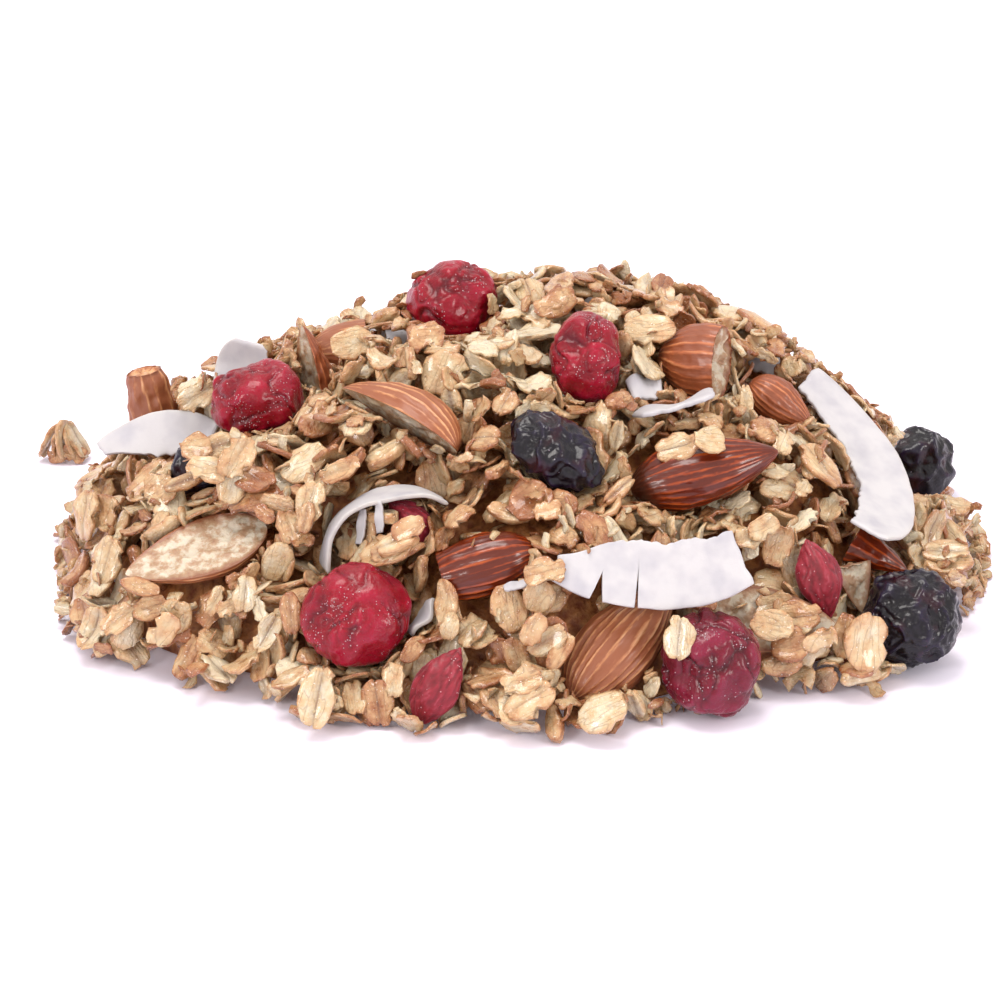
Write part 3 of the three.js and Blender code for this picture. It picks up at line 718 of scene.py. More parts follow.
@dataclass
class Mound:
    """The form of the whole heap, as one even surface, and its dark inside."""

    half_width: float = 77.0
    half_depth: float = 60.0
    height: float = 39.0
    outline_power: float = 2.1  # 2 is an ellipse, more is squarer
    dome_power: float = 2.4  # 2 is a rounded cap, more is a fuller dome
    coat: float = 7.0  # depth of the loose flakes over the dark inside
    swell_fade: float = 0.25  # share of the reach over which the swells fade at the edge
    lump_size: float = 11.5  # mm from one cluster to the next
    lump_rise: float = 3.3
    lump_end: float = 1.02  # how far out the lumps reach
    lump_fade: float = 0.12
    sunk: float = 0.8  # mm by which the flakes are aimed under the even surface
    inside_share: float = 0.86  # how far out the dark inside reaches
    foot_share: float = 0.92  # how far out the flakes at the foot reach
    foot_height: float = 4.5
    foot_lumps: float = 1.8  # how much stronger the lumps are at the foot
    foot_fade: float = 0.07
    clump_least: float = 1.2  # mm under which a clump's slope counts as bare table
    end_pull: Span = (0.02, 0.06)  # share by which flakes stay in at left and right
    edge_waves: tuple[Triple, ...] = ((3, 0.014, 1.0), (5, 0.016, 2.6), (9, 0.018, 0.4))
    swells: tuple[Bump, ...] = (
        Bump(32, 20, 5, 16), Bump(6, 22, 2, 12), Bump(-30, 12, -2, 14), Bump(-58, 12, 4, 10),
    )
    hollows: tuple[Bump, ...] = (Bump(31, -50, 8, 6), Bump(-20, -33, 9, 8), Bump(17, -48, 3, 6))
    clumps: tuple[Bump, ...] = (
        Bump(-65, 4, 7, 4.5), Bump(-62, -12, 7, 4.5), Bump(-60, -33, 6.5, 4), Bump(-46, -44, 4.5, 4),
        Bump(-28, -54, 5, 4), Bump(2, -56, 5.5, 4.5), Bump(12, -57, 5, 4), Bump(-14, -57, 4, 4),
        Bump(51, -41, 6.5, 5), Bump(61, -11, 8, 5), Bump(63, 8, 5, 4), Bump(40, 49, 5, 6),
        Bump(-12, 57, 5, 6), Bump(-50, 42, 5, 5),
    )
    rings: int = 44  # of the dark inside's mesh
    sectors: int = 132
    relief: Relief = field(default_factory=lambda: Relief(41))

    def reach(self, x: np.ndarray, y: np.ndarray) -> np.ndarray:
        """Distance from the middle as a share of the way to the footprint's edge."""
        p = self.outline_power
        even = (np.abs(x / self.half_width) ** p + np.abs(y / self.half_depth) ** p) ** (1 / p)
        angle = np.arctan2(y, x)
        return even / (1 + sum(share * np.sin(n * angle + turn) for n, share, turn in self.edge_waves))

    def surface(self, x: np.ndarray, y: np.ndarray) -> np.ndarray:
        """Height of the granola's even surface over the table."""
        r = np.minimum(self.reach(x, y), 1.0)
        fade = np.minimum((1 - r) / self.swell_fade, 1.0)
        raised = sum(swell.at(x, y) for swell in self.swells)
        return self.height * (1 - r**self.dome_power) + fade * raised

    def inside(self, x: np.ndarray, y: np.ndarray) -> np.ndarray:
        """Height of the dark inside, lower where a large piece stands against the heap."""
        sunk = self.coat + sum(hollow.at(x, y) for hollow in self.hollows)
        return np.maximum(self.surface(x, y) - sunk, 0.0)

    def aim(self, x: np.ndarray, y: np.ndarray) -> np.ndarray:
        """Height that the flakes are piled to, uneven from cluster to cluster."""
        places = np.stack((x.ravel(), y.ravel(), np.zeros(x.size)), axis=1) / self.lump_size
        lumps = self.lump_rise * self.relief.layered(places, 2).reshape(x.shape)
        out = x * (1 + np.where(x < 0, *self.end_pull) * np.clip(x / self.half_width, -1, 1) ** 2)
        share = self.reach(out, y)
        fade = np.clip((self.lump_end - share) / self.lump_fade, 0.0, 1.0)
        even = self.surface(out, y) - self.sunk + fade * lumps
        standing = np.clip((self.foot_share - share) / self.foot_fade, 0.0, 1.0)
        foot = standing * (self.foot_height + self.foot_lumps * lumps)
        clumps = sum(clump.at(x, y) for clump in self.clumps)
        return np.maximum.reduce([even, foot, np.where(clumps > self.clump_least, clumps, 0.0)])

    def build(self) -> bpy.types.Object:
        """Builds the dark inside as one closed mesh that stands on the table."""
        share = np.linspace(0.02, self.inside_share, self.rings)[:, None]
        angle = np.linspace(0, 2 * math.pi, self.sectors, endpoint=False)[None, :]
        edge = share / self.reach(np.cos(angle), np.sin(angle))
        x = edge * np.cos(angle)
        y = edge * np.sin(angle)
        places = np.stack((x.ravel(), y.ravel(), 0 * x.ravel()), axis=1)
        crumbs = self.relief.layered(places / 2.4 + 31, 3).reshape(x.shape)
        z = np.maximum(self.inside(x, y) + 0.8 * crumbs, 0.6)
        top = np.stack((x, y, z), axis=2)
        foot = top[-1:] * (1, 1, 0)
        points, triangles = ringed(np.concatenate((top, foot))[:, ::-1])
        LOG.info("heap inside: %d triangles", len(triangles))
        return plain(points, triangles).raised_to("heap_inside", [CRUMB])


# ------------------------ toppings


# Toppings that flakes hide in part, and by how many cells of the picture they may.
BURIED = {
    "dark_berry_left": 7, "goji_in_curl": 4, "almond_pale": 16, "cherry_crown": 4, "almond_back": 6,
    "coconut_back_left": 6, "coconut_back": 8, "coconut_back_right": 6, "coconut_under": 4,
    "almond_deep": 5, "coconut_left": 1, "almond_cut_face": 2, "almond_ribbed": 5,
    "coconut_front": 4,
}


@dataclass
class Topping:
    """A piece as large as a berry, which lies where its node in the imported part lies."""

    node: str
    along: Triple
    face: Triple
    seed: int = 1
    skin: Finish = ALMOND

    slot = ""  # the name of the kind that such a piece belongs to

    def margin(self) -> int:
        """Cells of the picture by which flakes may lie over the topping's outline."""
        return BURIED.get(self.node, 3)

    def shape(self) -> Skin:
        """The piece at its own origin, its length along +X."""
        raise NotImplementedError

    def finishes(self) -> list[Finish]:
        """The piece's finishes: its skin, and for some pieces what is inside."""
        return [self.skin]

    def placed(self) -> Skin:
        """The piece turned as it lies, in the middle of its node's box and flat where it rests."""
        turned = self.shape().moved(turned_to(self.along, self.face), np.zeros(3))
        low, high = (np.array(corner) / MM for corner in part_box(self.node))
        middle = (turned.points.min(axis=0) + turned.points.max(axis=0)) / 2
        points = turned.points + (low + high) / 2 - middle
        points[:, 2] = np.maximum(points[:, 2], 0.0)
        return replace(turned, points=points)

    def build(self, skin: Skin, name: str = "") -> bpy.types.Object:
        """Makes the object of the placed skin, named for its node or otherwise, and ties it there."""
        piece = skin.raised_to(name or f"{self.node}_real", self.finishes())
        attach(piece, BODY)
        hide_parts(self.node)
        return piece


@dataclass
class Almond(Topping):
    """A roasted almond, its tip at +X, whole, split in half or broken across."""

    length: float = 24.0
    width: float = 12.6
    thickness: float = 8.6
    split: bool = False  # the half under the middle plane is gone
    keep: Span = (0.0, 1.0)  # stretch of the length that is left
    flesh: AlmondFlesh = FLESH
    rough: float = 0.16  # mm that the whole surface is uneven besides the ribs
    jag: float = 0.7  # mm that a broken end stands out, more where it is splintered
    end_shadow: float = 0.0  # share of painted shadow laid over the blunt end
    ribs: int = 23
    rib_depth: float = 0.24
    bluntness: float = 0.76
    fullness: float = 0.68
    sides: int = 98
    rings: int = 44

    slot = "almond"

    def finishes(self) -> list[Finish]:
        """The brown skin and the cream kernel."""
        return [self.skin, self.flesh]

    def stations(self) -> tuple[np.ndarray, np.ndarray]:
        """Places of the rings along the length, and the share of full girth that each has."""
        start, stop = self.keep
        low = start if start > 0 else 0.004
        high = stop if stop < 1 else 0.996
        body = low + (high - low) * (1 - np.cos(np.linspace(0, math.pi, self.rings))) / 2
        closing = np.array([0.1, 0.35, 0.6, 0.82, 0.96])  # shares of the girth over a broken end
        places = [body]
        shares = [np.ones(self.rings)]
        if start > 0:
            places.insert(0, np.full(len(closing), low))
            shares.insert(0, closing)
        if stop < 1:
            places.append(np.full(len(closing), high))
            shares.append(closing[::-1])
        return np.concatenate(places), np.concatenate(shares)

    def shape(self) -> Skin:
        """The piece at its own origin, its length along +X."""
        relief = Relief(self.seed + 100)
        t, share = (row[:, None] for row in self.stations())
        turn = np.linspace(0, 1, self.sides, endpoint=False)[None, :]
        cut = np.zeros_like(turn, dtype=bool)
        if self.split:
            arc = 0.64  # share of a ring's points on the round side
            angle = np.minimum(turn / arc, 1.0) * math.pi
            chord = np.clip((turn - arc) / (1 - arc), 0, 1)
            cut = turn > arc
            y = np.where(cut, 2 * chord - 1, np.cos(angle))
            z = np.where(cut, 0.0, np.sin(angle))
        else:
            angle = 2 * math.pi * turn
            y = np.cos(angle)
            z = np.sin(angle)
        half = np.sin(math.pi * t**self.bluntness) ** self.fullness / 2 * share
        x = (t - 0.5) * self.length * np.ones_like(turn)
        y = half * self.width * y
        z = half * self.thickness * z
        broken = share * np.ones_like(turn) < 1
        grain = np.stack((x.ravel(), y.ravel(), z.ravel()), axis=1)
        wander = relief.at(grain * (0.07, 0.2, 0.2)).reshape(x.shape)
        merge = relief.at(grain * (0.12, 0.5, 0.5) + 9).reshape(x.shape)
        wave = 0.5 + 0.5 * np.cos(self.ribs * angle + 5.0 * wander)
        furrow = 1 - wave**4 * np.clip(0.75 + 0.8 * merge, 0.1, 1.0)
        girth = np.clip(half * 2.2, 0.0, 1.0)
        skinned = ~(cut | broken)
        inward = np.where(skinned, self.rib_depth * furrow * girth, 0.0)
        inward += self.rough * relief.layered(grain * 0.35 + 3, 3).reshape(x.shape) * girth
        radius = np.maximum(np.hypot(y, z), 0.01)
        shrink = 1 - inward / radius
        shrink = np.clip(np.where(cut, 1.0, shrink), 0.5, 1.2)
        y = y * shrink
        z = z * shrink
        pits = relief.layered(grain * 0.5 + 21, 3).reshape(x.shape)
        inner = 1 - np.clip(np.abs(y) / np.maximum(half * self.width, 0.01), 0, 1) ** 2
        z = z + np.where(cut & ~broken, inner * (0.35 + 0.5 * pits) * girth, 0.0)
        ends = np.where(t * np.ones_like(turn) > np.mean(self.keep), -1.0, 1.0)
        x = x + np.where(broken, ends * (0.2 + self.jag * (1 - share**2)) * (0.4 + pits), 0.0)
        rings = np.stack((x, y, z), axis=2)
        points, triangles = ringed(rings)
        # The second mark is a painted shadow over the blunt end. It also makes the thin tips a little
        # darker.
        blunt = np.clip(1 - t * 5.5, 0, 1) * np.ones_like(turn)
        dark = np.clip(blunt * self.end_shadow * 2 + 0.3 * np.clip(1 - half * 5, 0, 1), 0, 0.9)
        rim = np.where(cut, np.clip(np.abs(y) / np.maximum(half * self.width, 0.01), 0, 1) ** 8, 0.0)
        rim = np.where(broken, share**16, rim)
        skin = plain(points, triangles)
        skin.marks[:-2, 0] = furrow.ravel()
        skin.marks[:-2, 1] = dark.ravel()
        skin.marks[:-2, 2] = rim.ravel()
        bare = (cut | broken).astype(float)
        after = np.roll(bare, -1, axis=1)
        squares = np.minimum.reduce([bare[:-1], bare[1:], after[:-1], after[1:]]).ravel() > 0
        caps = np.repeat([share[0, 0] < 1, share[-1, 0] < 1], self.sides)
        second = np.concatenate((squares, squares, caps))
        middle = (sum(self.keep) / 2 - 0.5) * self.length
        return replace(
            skin, grain=skin.grain + 13.0 * self.seed, second=second, points=points - (middle, 0, 0)
        )


@dataclass
class Fruit(Topping):
    """A dried fruit: a ball with its size along X, Y and Z, shrunk into folds."""

    skin: Finish = CHERRY
    size: Triple = (15.0, 14.0, 12.0)
    folds: float = 5.0
    turn: float = 0.0
    depth: float = 0.05
    dent: Triple = (0.0, 0.0, 1.0)
    dent_depth: float = 0.15
    crease_size: float = 5.0  # mm from one crease to the next
    crease_width: float = 0.1  # share of the noise that a crease takes up
    crease_depth: float = 0.5
    fine_size: float = 2.4
    fine_depth: float = 0.28
    detail: int = 6  # times that the ball's triangles are halved
    crumpled: bool = False  # sharp crests and broad hollows, as a dry dark berry has

    slot = "cherry"

    def shape(self) -> Skin:
        """The piece at its own origin, its length along +X."""
        relief = Relief(self.seed + 300)
        sphere, triangles = ball(self.detail)
        halves = np.array(self.size) / 2
        x, y, z = sphere.T
        lengthwise = np.sin(self.folds * x + 2.1 * y + self.turn)
        crosswise = np.cos(self.folds * 0.8 * z - x + self.turn)
        dented = np.exp(-6 * ((sphere - self.dent) ** 2).sum(axis=1))
        out = 1 + self.depth * lengthwise * crosswise - self.dent_depth * dented
        even = sphere * halves
        bent = even + 1.1 * np.stack([relief.at(even / 4.5 + k) for k in (0, 11, 23)], axis=1)
        here = np.clip(0.6 + 1.2 * relief.at(bent / 6 + 60), 0.1, 1)
        broad = relief.lines(bent / self.crease_size, self.crease_width) * here
        narrow = relief.lines(bent / self.fine_size + 5, 0.16) * here
        soft = relief.layered(bent / 4.6 + 17, 2)
        mean = halves.mean()
        if self.crumpled:
            crest = relief.lines(bent / 4.4, 0.16)
            small = relief.lines(bent / 1.9 + 5, 0.2)
            rise = 0.8 * crest + 0.34 * small - 0.3 + 0.4 * soft
            height = np.clip(0.25 + 0.5 * crest + 0.25 * small, 0, 1)
            out = out + 0.75 * rise / mean
        else:
            sunk = self.crease_depth * broad + self.fine_depth * narrow
            height = np.clip(0.75 - 0.6 * broad - 0.35 * narrow + 0.45 * soft, 0, 1)
            out = out - (sunk - 0.5 * soft) / mean
        points = even * out[:, None]
        sticky = np.clip(0.1 + 1.3 * relief.at(bent / 4.5 + 40) + 0.5 * broad, 0, 1)
        # The first mark is the height. The finish paints it darker in the creases, as shade, and
        # lighter on the bumps, as highlight.
        marks = np.stack((height * 0.8, sticky, dented, np.ones(len(points))), axis=1)
        return replace(plain(points, triangles), marks=marks, grain=even + 17.0 * self.seed)


@dataclass
class DarkBerry(Fruit):
    """A dark dried berry."""

    skin: Finish = DARK_BERRY
    crumpled: bool = True

    slot = "dark_berry"


@dataclass
class Goji(Topping):
    """A goji berry: a spindle along X, pleated and finely lined lengthwise."""

    skin: Finish = GOJI
    size: Triple = (14.0, 7.5, 5.5)
    pleats: int = 4
    pleat_depth: float = 0.08
    line_depth: float = 0.2

    slot = "goji"

    def shape(self) -> Skin:
        """The piece at its own origin, its length along +X."""
        relief = Relief(self.seed + 500)
        t = ((1 - np.cos(np.linspace(0.03, 0.97, 60) * math.pi)) / 2)[:, None]
        angle = np.linspace(0, 2 * math.pi, 68, endpoint=False)[None, :]
        length, width, thickness = self.size
        arch = np.sin(math.pi * t)
        pleated = 1 + self.pleat_depth * np.sin(self.pleats * angle + 5 * t)
        girth = arch**0.85 * pleated
        x = (t - 0.5) * length * np.ones_like(angle)
        y = girth * width / 2 * np.cos(angle)
        z = girth * thickness / 2 * np.sin(angle)
        grain = np.stack((x.ravel(), y.ravel(), z.ravel()), axis=1)
        swirled = grain * (0.22, 1.0, 1.0) + 0.3 * relief.at(grain / 3)[:, None]
        line = relief.lines(swirled / 1.1, 0.24).reshape(x.shape)
        fine = relief.lines(swirled / 0.55 + 7, 0.3).reshape(x.shape)
        shrink = 1 - (self.line_depth * line + 0.07 * fine) / np.maximum(np.hypot(y, z), 0.6)
        rings = np.stack((x, y * shrink, z * shrink + 0.9 * arch), axis=2)
        skin = plain(*ringed(rings))
        # The first mark is lower along the lines, so that they are painted darker, as shade in the
        # grooves.
        skin.marks[:-2, 0] = np.clip(0.7 - 0.35 * line - 0.25 * fine, 0, 1).ravel()
        skin.marks[:-2, 1] = 0.5
        return replace(skin, grain=skin.grain + 19.0 * self.seed)


@dataclass
class CoconutChip(Topping):
    """A coconut chip: a thin strip along X, bent in its plane and curled out of it.

    Its outer edge is smooth and its inner one torn. cuts holds notches in the outer edge: the
    share of the length where each lies, how wide it is and how deep.
    """

    skin: Finish = COCONUT
    length: float = 20.0
    width: float = 8.0
    arc: float = 30.0
    curl: float = 40.0
    taper: float = 0.3
    phase: float = 0.0
    cuts: tuple[Triple, ...] = ()
    thickness: float = 0.85
    wave: float = 0.5
    tear: float = 0.05
    rag: float = 0.5  # mm that the torn edge is uneven besides
    slant: float = 0.0  # mm that the inner corner is cut away at one end
    slant_run: float = 9.0  # mm of the length over which it is
    slant_end: float = 1.0  # 1 for the +X end, -1 for the other
    rind: float = 0.25  # share of cream at the outer edge
    spacing: float = 0.45  # mm from one point to the next along the chip
    fewest: int = 16  # columns of points that the shortest chip has

    slot = "coconut"

    def columns(self) -> np.ndarray:
        """Shares of the length at which the points lie, with one at each corner of a notch."""
        count = max(int(self.length / self.spacing), self.fewest)
        even = np.linspace(-0.5, 0.5, count + 1)
        corners = [
            at - 0.5 + side * wide / 2 / self.length for at, wide, _ in self.cuts for side in (-1, 0, 1)
        ]
        return np.unique(np.round(np.append(even, corners), 5))

    def shape(self) -> Skin:
        """The piece at its own origin, its length along +X."""
        relief = Relief(self.seed + 700)
        s = self.columns()[:, None]
        across = np.concatenate(([-0.5, -0.49, -0.46], np.linspace(-0.4, 0.4, 12), [0.46, 0.49, 0.5]))
        v = across[None, :] * np.ones_like(s)
        top = np.full_like(s, 0.5)
        for at, wide, deep in self.cuts:
            away = np.abs(s + 0.5 - at) * self.length / (wide / 2)
            top = np.minimum(top, 0.5 - deep / self.width * np.clip(1 - away, 0, 1))
        run = np.clip(1 + (self.slant_end * s - 0.5) * self.length / self.slant_run, 0, 1)
        foot = -0.5 + self.slant / self.width * run**1.2
        v = foot + (v + 0.5) * (top - foot)
        line = np.stack((s.ravel() * self.length, 0 * s.ravel(), 0 * s.ravel()), axis=1)
        rag = (relief.layered(line / 1.8, 3) * self.rag)[:, None]
        nibble = (relief.layered(line / 3.5 + 8, 2) * 0.12)[:, None]
        shrink = 1 - self.taper * np.abs(2 * s) ** 4
        torn = np.where(v < 0, 1 + self.tear * np.sin(23 * s + self.phase), 1.0)
        wide = v * self.width * shrink * torn + np.where(v < 0, rag, nibble) * np.abs(2 * v) ** 3
        end_rag = relief.layered(np.stack((across * 3, across * 0 + 4, across * 0), axis=1), 2) * 0.02
        stretched = s * (1 + end_rag[None, :] * np.abs(2 * s) ** 6)
        bearing = stretched * self.length / self.arc
        flat_x = (self.arc + wide) * np.sin(bearing)
        flat_y = (self.arc + wide) * np.cos(bearing) - self.arc
        flat = np.stack((flat_x.ravel(), flat_y.ravel(), 0 * flat_x.ravel()), axis=1)
        ripple = self.wave * np.sin(9 * s + self.phase) * (0.5 + v)
        ripple = ripple + 0.22 * relief.layered(flat / 6, 2).reshape(flat_x.shape)
        edge = np.maximum(np.abs(2 * v), np.abs(2 * s) ** 12)
        half = self.thickness / 2 * (0.45 + 0.55 * np.sqrt(np.clip(1 - edge**10, 0, 1)))
        turn = flat_x / self.curl
        faces = []
        for side in (1, -1):
            radius = self.curl - ripple - side * half
            across_x = radius * np.sin(turn)
            faces.append(np.stack((across_x, flat_y, self.curl - radius * np.cos(turn)), axis=2))
        points = np.concatenate([face.reshape(-1, 3) for face in faces])
        rows, columns = flat_x.shape
        skin = plain(points, sandwich(rows, columns))
        cream = self.rind * np.clip(2 * v, 0, 1) ** 14
        skin.marks[:, 0] = np.tile(cream.ravel(), 2)
        return replace(skin, grain=np.tile(flat, (2, 1)) + 23.0 * self.seed)


def toppings() -> list[Topping]:
    """Every topping, in the order in which it came to lie, which numbers its seed."""
    pieces = [
        Almond(
            "almond_deep", (-0.96, -0.1, -0.25), (0, -0.6, 0.8), length=22, width=10.5, keep=(0, 0.7),
            skin=ALMOND_GLAZED,
        ),
        Fruit(
            "cherry_front", (1, 0, 0.1), (0, -0.75, 0.66), size=(16.8, 16, 11.5), folds=5, turn=5.2,
            depth=0.05, dent=(-0.1, 0, 1), dent_depth=0.16,
        ),
        CoconutChip(
            "coconut_sliver", (-0.51, -0.5, -0.7), (-0.84, -0.1, 0.6), length=6.5, width=4, arc=25,
            curl=30, taper=0.4, phase=5.0,
        ),
        Almond("almond_ribbed", (0.64, 0.54, 0.54), (0, -0.75, 0.66), split=True, rib_depth=0.4),
        Fruit(
            "cherry_right", (1, 0, -0.1), (0, -0.8, 0.6), size=(16, 16.5, 13), folds=4, turn=0.9,
            depth=0.07, dent=(-0.6, -0.4, 0.7), dent_depth=0.25, skin=WINE_CHERRY,
        ),
        Goji("goji_front", (0.5, 0.35, 0.8), (-0.3, -0.9, 0.4), size=(14, 7.5, 5.5)),
        Almond("almond_pale", (0.97, -0.1, -0.05), (0, 0.75, -0.66), length=22, width=11, split=True),
        Goji("goji_right", (0.3, -0.35, -0.88), (0.1, -0.8, 0.5), size=(13, 7.2, 5.5)),
        Almond("almond_cut_face", (-0.93, -0.25, -0.25), (0, 0.35, -0.94), length=23.5, split=True),
        Goji("goji_in_curl", (0.7, -0.25, -0.67), (0, -0.6, 0.8), size=(10.5, 6.4, 5)),
        CoconutChip(
            "coconut_curl", (0.87, 0.25, 0.42), (0.48, -0.16, -0.86), length=26, width=8, arc=200,
            curl=12, taper=0.1, phase=0.2,
        ),
        DarkBerry(
            "dark_berry_left", (0.95, 0.2, 0.2), (0, -0.5, 0.85), size=(11, 9, 8.5), folds=4, turn=3.6,
            detail=5,
        ),
        CoconutChip(
            "coconut_left", (0.97, -0.1, 0.22), (-0.3, -0.7, 0.65), length=19, width=7.5, arc=18,
            curl=60, taper=0.3, phase=1.1, rag=0.6, slant=4.0, slant_end=-1.0,
        ),
        Almond(
            "almond_chunk_left", (-0.2, 0.1, 0.97), (-0.1, -0.95, 0.1), width=9, keep=(0.3, 0.75),
            flesh=FLESH_BROWNED, rib_depth=0.5, ribs=14, rough=0.3, sides=56,
        ),
        CoconutChip(
            "coconut_standing", (0.1, 0.38, 0.92), (0, -0.92, 0.38), length=14, width=8.8, arc=40,
            curl=40, taper=0.5, phase=3.0,
        ),
        Fruit(
            "cherry_left", (0.95, 0.1, 0.2), (0, -0.3, 0.95), size=(15.5, 13, 11), folds=5, turn=0.4,
            depth=0.06, dent=(-0.3, -0.9, 0.4), dent_depth=0.12,
        ),
        Almond(
            "almond_upright", (-0.1, 0.15, 0.98), (0.85, 0.5, 0.1), length=18, width=9, split=True,
            keep=(0.4, 1), skin=ALMOND_RED, rough=0.4, sides=64,
        ),
        Almond(
            "almond_back", (0.97, 0.1, 0.1), (0, -0.3, 0.95), length=22, width=11, thickness=7,
            keep=(0, 0.45), sides=64,
        ),
        CoconutChip(
            "coconut_back_left", (1, 0.2, 0), (0, -0.3, 0.95), length=10, width=8, arc=40, curl=50,
            taper=0.4, phase=0.9,
        ),
        Almond(
            "almond_split_top", (-0.76, 0.62, 0.18), (0.57, 0.55, 0.62), width=9, thickness=12.6,
            split=True,
        ),
        Fruit(
            "cherry_crown", (1, 0, 0), (0, -0.2, 1), size=(14.5, 14, 13), folds=4, turn=1.9, depth=0.06,
            dent=(0.4, -0.7, 0.6), dent_depth=0.12,
        ),
        CoconutChip(
            "coconut_under", (0.9, 0.3, -0.1), (0, -0.5, 0.87), length=5.5, width=5, arc=40, curl=40,
            taper=0.3, phase=3.3,
        ),
        Fruit(
            "cherry_back", (0, 0.4, 0.9), (0, -0.9, 0.4), size=(15, 11.6, 11.5), folds=4.5, turn=3.1,
            depth=0.06, dent=(0.1, 0.2, 1), dent_depth=0.15,
        ),
        DarkBerry(
            "dark_berry_middle", (0.8, -0.4, -0.45), (0.2, -0.5, 0.85), size=(15.5, 10.5, 9.5), folds=5,
            turn=2.2, depth=0.08, dent=(0.2, 0.1, 1), dent_depth=0.15,
        ),
        Almond(
            "almond_glossy", (0.96, 0.1, 0.23), (0, -0.6, 0.8), width=11.5, skin=ALMOND_GLAZED,
            end_shadow=0.8, rib_depth=0.26, rough=0.24,
        ),
        Almond(
            "almond_broken", (0.9, -0.43, 0.1), (-0.43, -0.82, 0.37), length=22, keep=(0, 0.5),
            skin=ALMOND_RED, jag=2.0,
        ),
        Almond(
            "almond_small", (0.78, -0.3, -0.5), (0.35, -0.35, 0.87), length=12, width=8, thickness=7,
            skin=ALMOND_RED, rib_depth=0.2, rough=0.3,
        ),
        CoconutChip(
            "coconut_edge", (0.94, 0.2, 0.2), (-0.2, 0.25, 0.95), length=13, width=6, arc=40, curl=60,
            taper=0.3, phase=4.0,
        ),
        CoconutChip(
            "coconut_back", (1, 0.1, 0), (0, -0.4, 0.9), length=14, width=8, arc=35, curl=40, taper=0.4,
            phase=1.7,
        ),
        CoconutChip(
            "coconut_back_right", (0.9, -0.2, -0.3), (0.3, -0.6, 0.75), length=8, width=5, arc=35,
            curl=40, taper=0.4, phase=2.7,
        ),
        DarkBerry(
            "dark_berry_back", (0.3, 0.2, 1), (0.3, -0.9, 0.2), size=(12.5, 11.5, 10.5), folds=4.5,
            turn=4.4, depth=0.08, dent=(0.1, 0.3, 1), dent_depth=0.14, detail=5,
        ),
        DarkBerry(
            "dark_berry_right", (1, 0.1, 0), (0, -0.5, 0.85), size=(15.5, 15, 14), folds=4.5, turn=0.2,
            depth=0.07, dent=(0, -0.2, 1), dent_depth=0.15,
        ),
        Almond(
            "almond_torn", (0.85, -0.35, -0.35), (0.3, -0.6, 0.7), length=24, width=8.5, thickness=6,
            keep=(0.6, 1), skin=ALMOND_GLAZED, flesh=FLESH_BROWNED, rough=0.5, ribs=12, sides=64,
        ),
        Almond(
            "almond_wedge", (0.2, -0.4, -0.85), (-0.2, 0.85, -0.4), length=20, width=7, thickness=6,
            split=True, keep=(0.6, 1), sides=64,
        ),
        CoconutChip(
            "coconut_right", (0.2, -0.93, -0.3), (0.35, -0.15, 0.92), length=44, width=9.5, arc=25,
            curl=70, taper=0.3, phase=2.0,
        ),
        CoconutChip(
            "coconut_front", (-1, -0.05, 0.06), (0.05, -0.75, 0.6), length=29, width=10.5, arc=36,
            curl=60, taper=0.15, phase=0.4, cuts=((0.76, 1.8, 4.8), (0.57, 0.5, 6.5)), rind=0.1,
            slant=6.0,
        ),
    ]
    for number, piece in enumerate(pieces, 1):
        piece.seed = number
    return pieces


# ------------------------ oat flakes


class Cut(Enum):
    """How an oat flake came out of the rollers and the baking."""

    FLAT = "flat"
    CURLED = "curled"
    RAGGED = "ragged"
    GROAT = "groat"
    SHARD = "shard"


@dataclass(frozen=True)
class FlakeForm:
    """Sizes of one cut of oat flake, each the middle of a range."""

    length: float
    width: float
    thickness: float
    bow: float  # mm that the ends rise
    cup: float  # mm that the sides rise
    ruffle: float  # mm that the rim waves
    cracks: int  # splits in from the rim
    crease: float  # depth of the crease, and share of its darkness
    bluntness: float  # 2 is an oval, more is squarer


FORMS = {
    Cut.FLAT: FlakeForm(7.9, 6.1, 0.85, 0.35, 0.2, 0.4, 2, 0.8, 2.2),
    Cut.CURLED: FlakeForm(7.3, 5.3, 0.9, 1.1, 0.6, 0.45, 1, 0.9, 2.1),
    Cut.RAGGED: FlakeForm(6.5, 5.0, 0.7, 0.6, 0.5, 0.85, 5, 0.5, 3.0),
    Cut.GROAT: FlakeForm(6.8, 3.0, 1.7, 0.5, 0.2, 0.25, 0, 1.0, 1.9),
    Cut.SHARD: FlakeForm(4.8, 2.9, 0.62, 0.3, 0.2, 0.45, 3, 0.4, 4.6),
}


@dataclass
class Flake:
    """An oat flake before it is placed: skins from fine to least, and close samples of it."""

    fine: Skin
    coarse: Skin
    least: Skin
    samples: np.ndarray


@dataclass
class LaidFlake:
    """A flake where it came to lie."""

    flake: Flake
    turn: np.ndarray
    place: np.ndarray
    size: float
    toast: float
    shift: np.ndarray  # mm by which its grain is moved, so that no two flakes look alike

    def samples(self) -> np.ndarray:
        """Points all over the flake where it lies."""
        return (self.flake.samples * self.size) @ self.turn.T + self.place

    def skin(self, form: Skin) -> Skin:
        """One of the flake's skins, moved to where it lies and toasted."""
        laid = form.moved(self.turn, self.place, self.size)
        laid.marks = form.marks.copy()
        laid.marks[:, 0] = self.toast
        laid.grain = form.grain + self.shift
        laid.points[:, 2] = np.maximum(laid.points[:, 2], 0.0)
        return laid


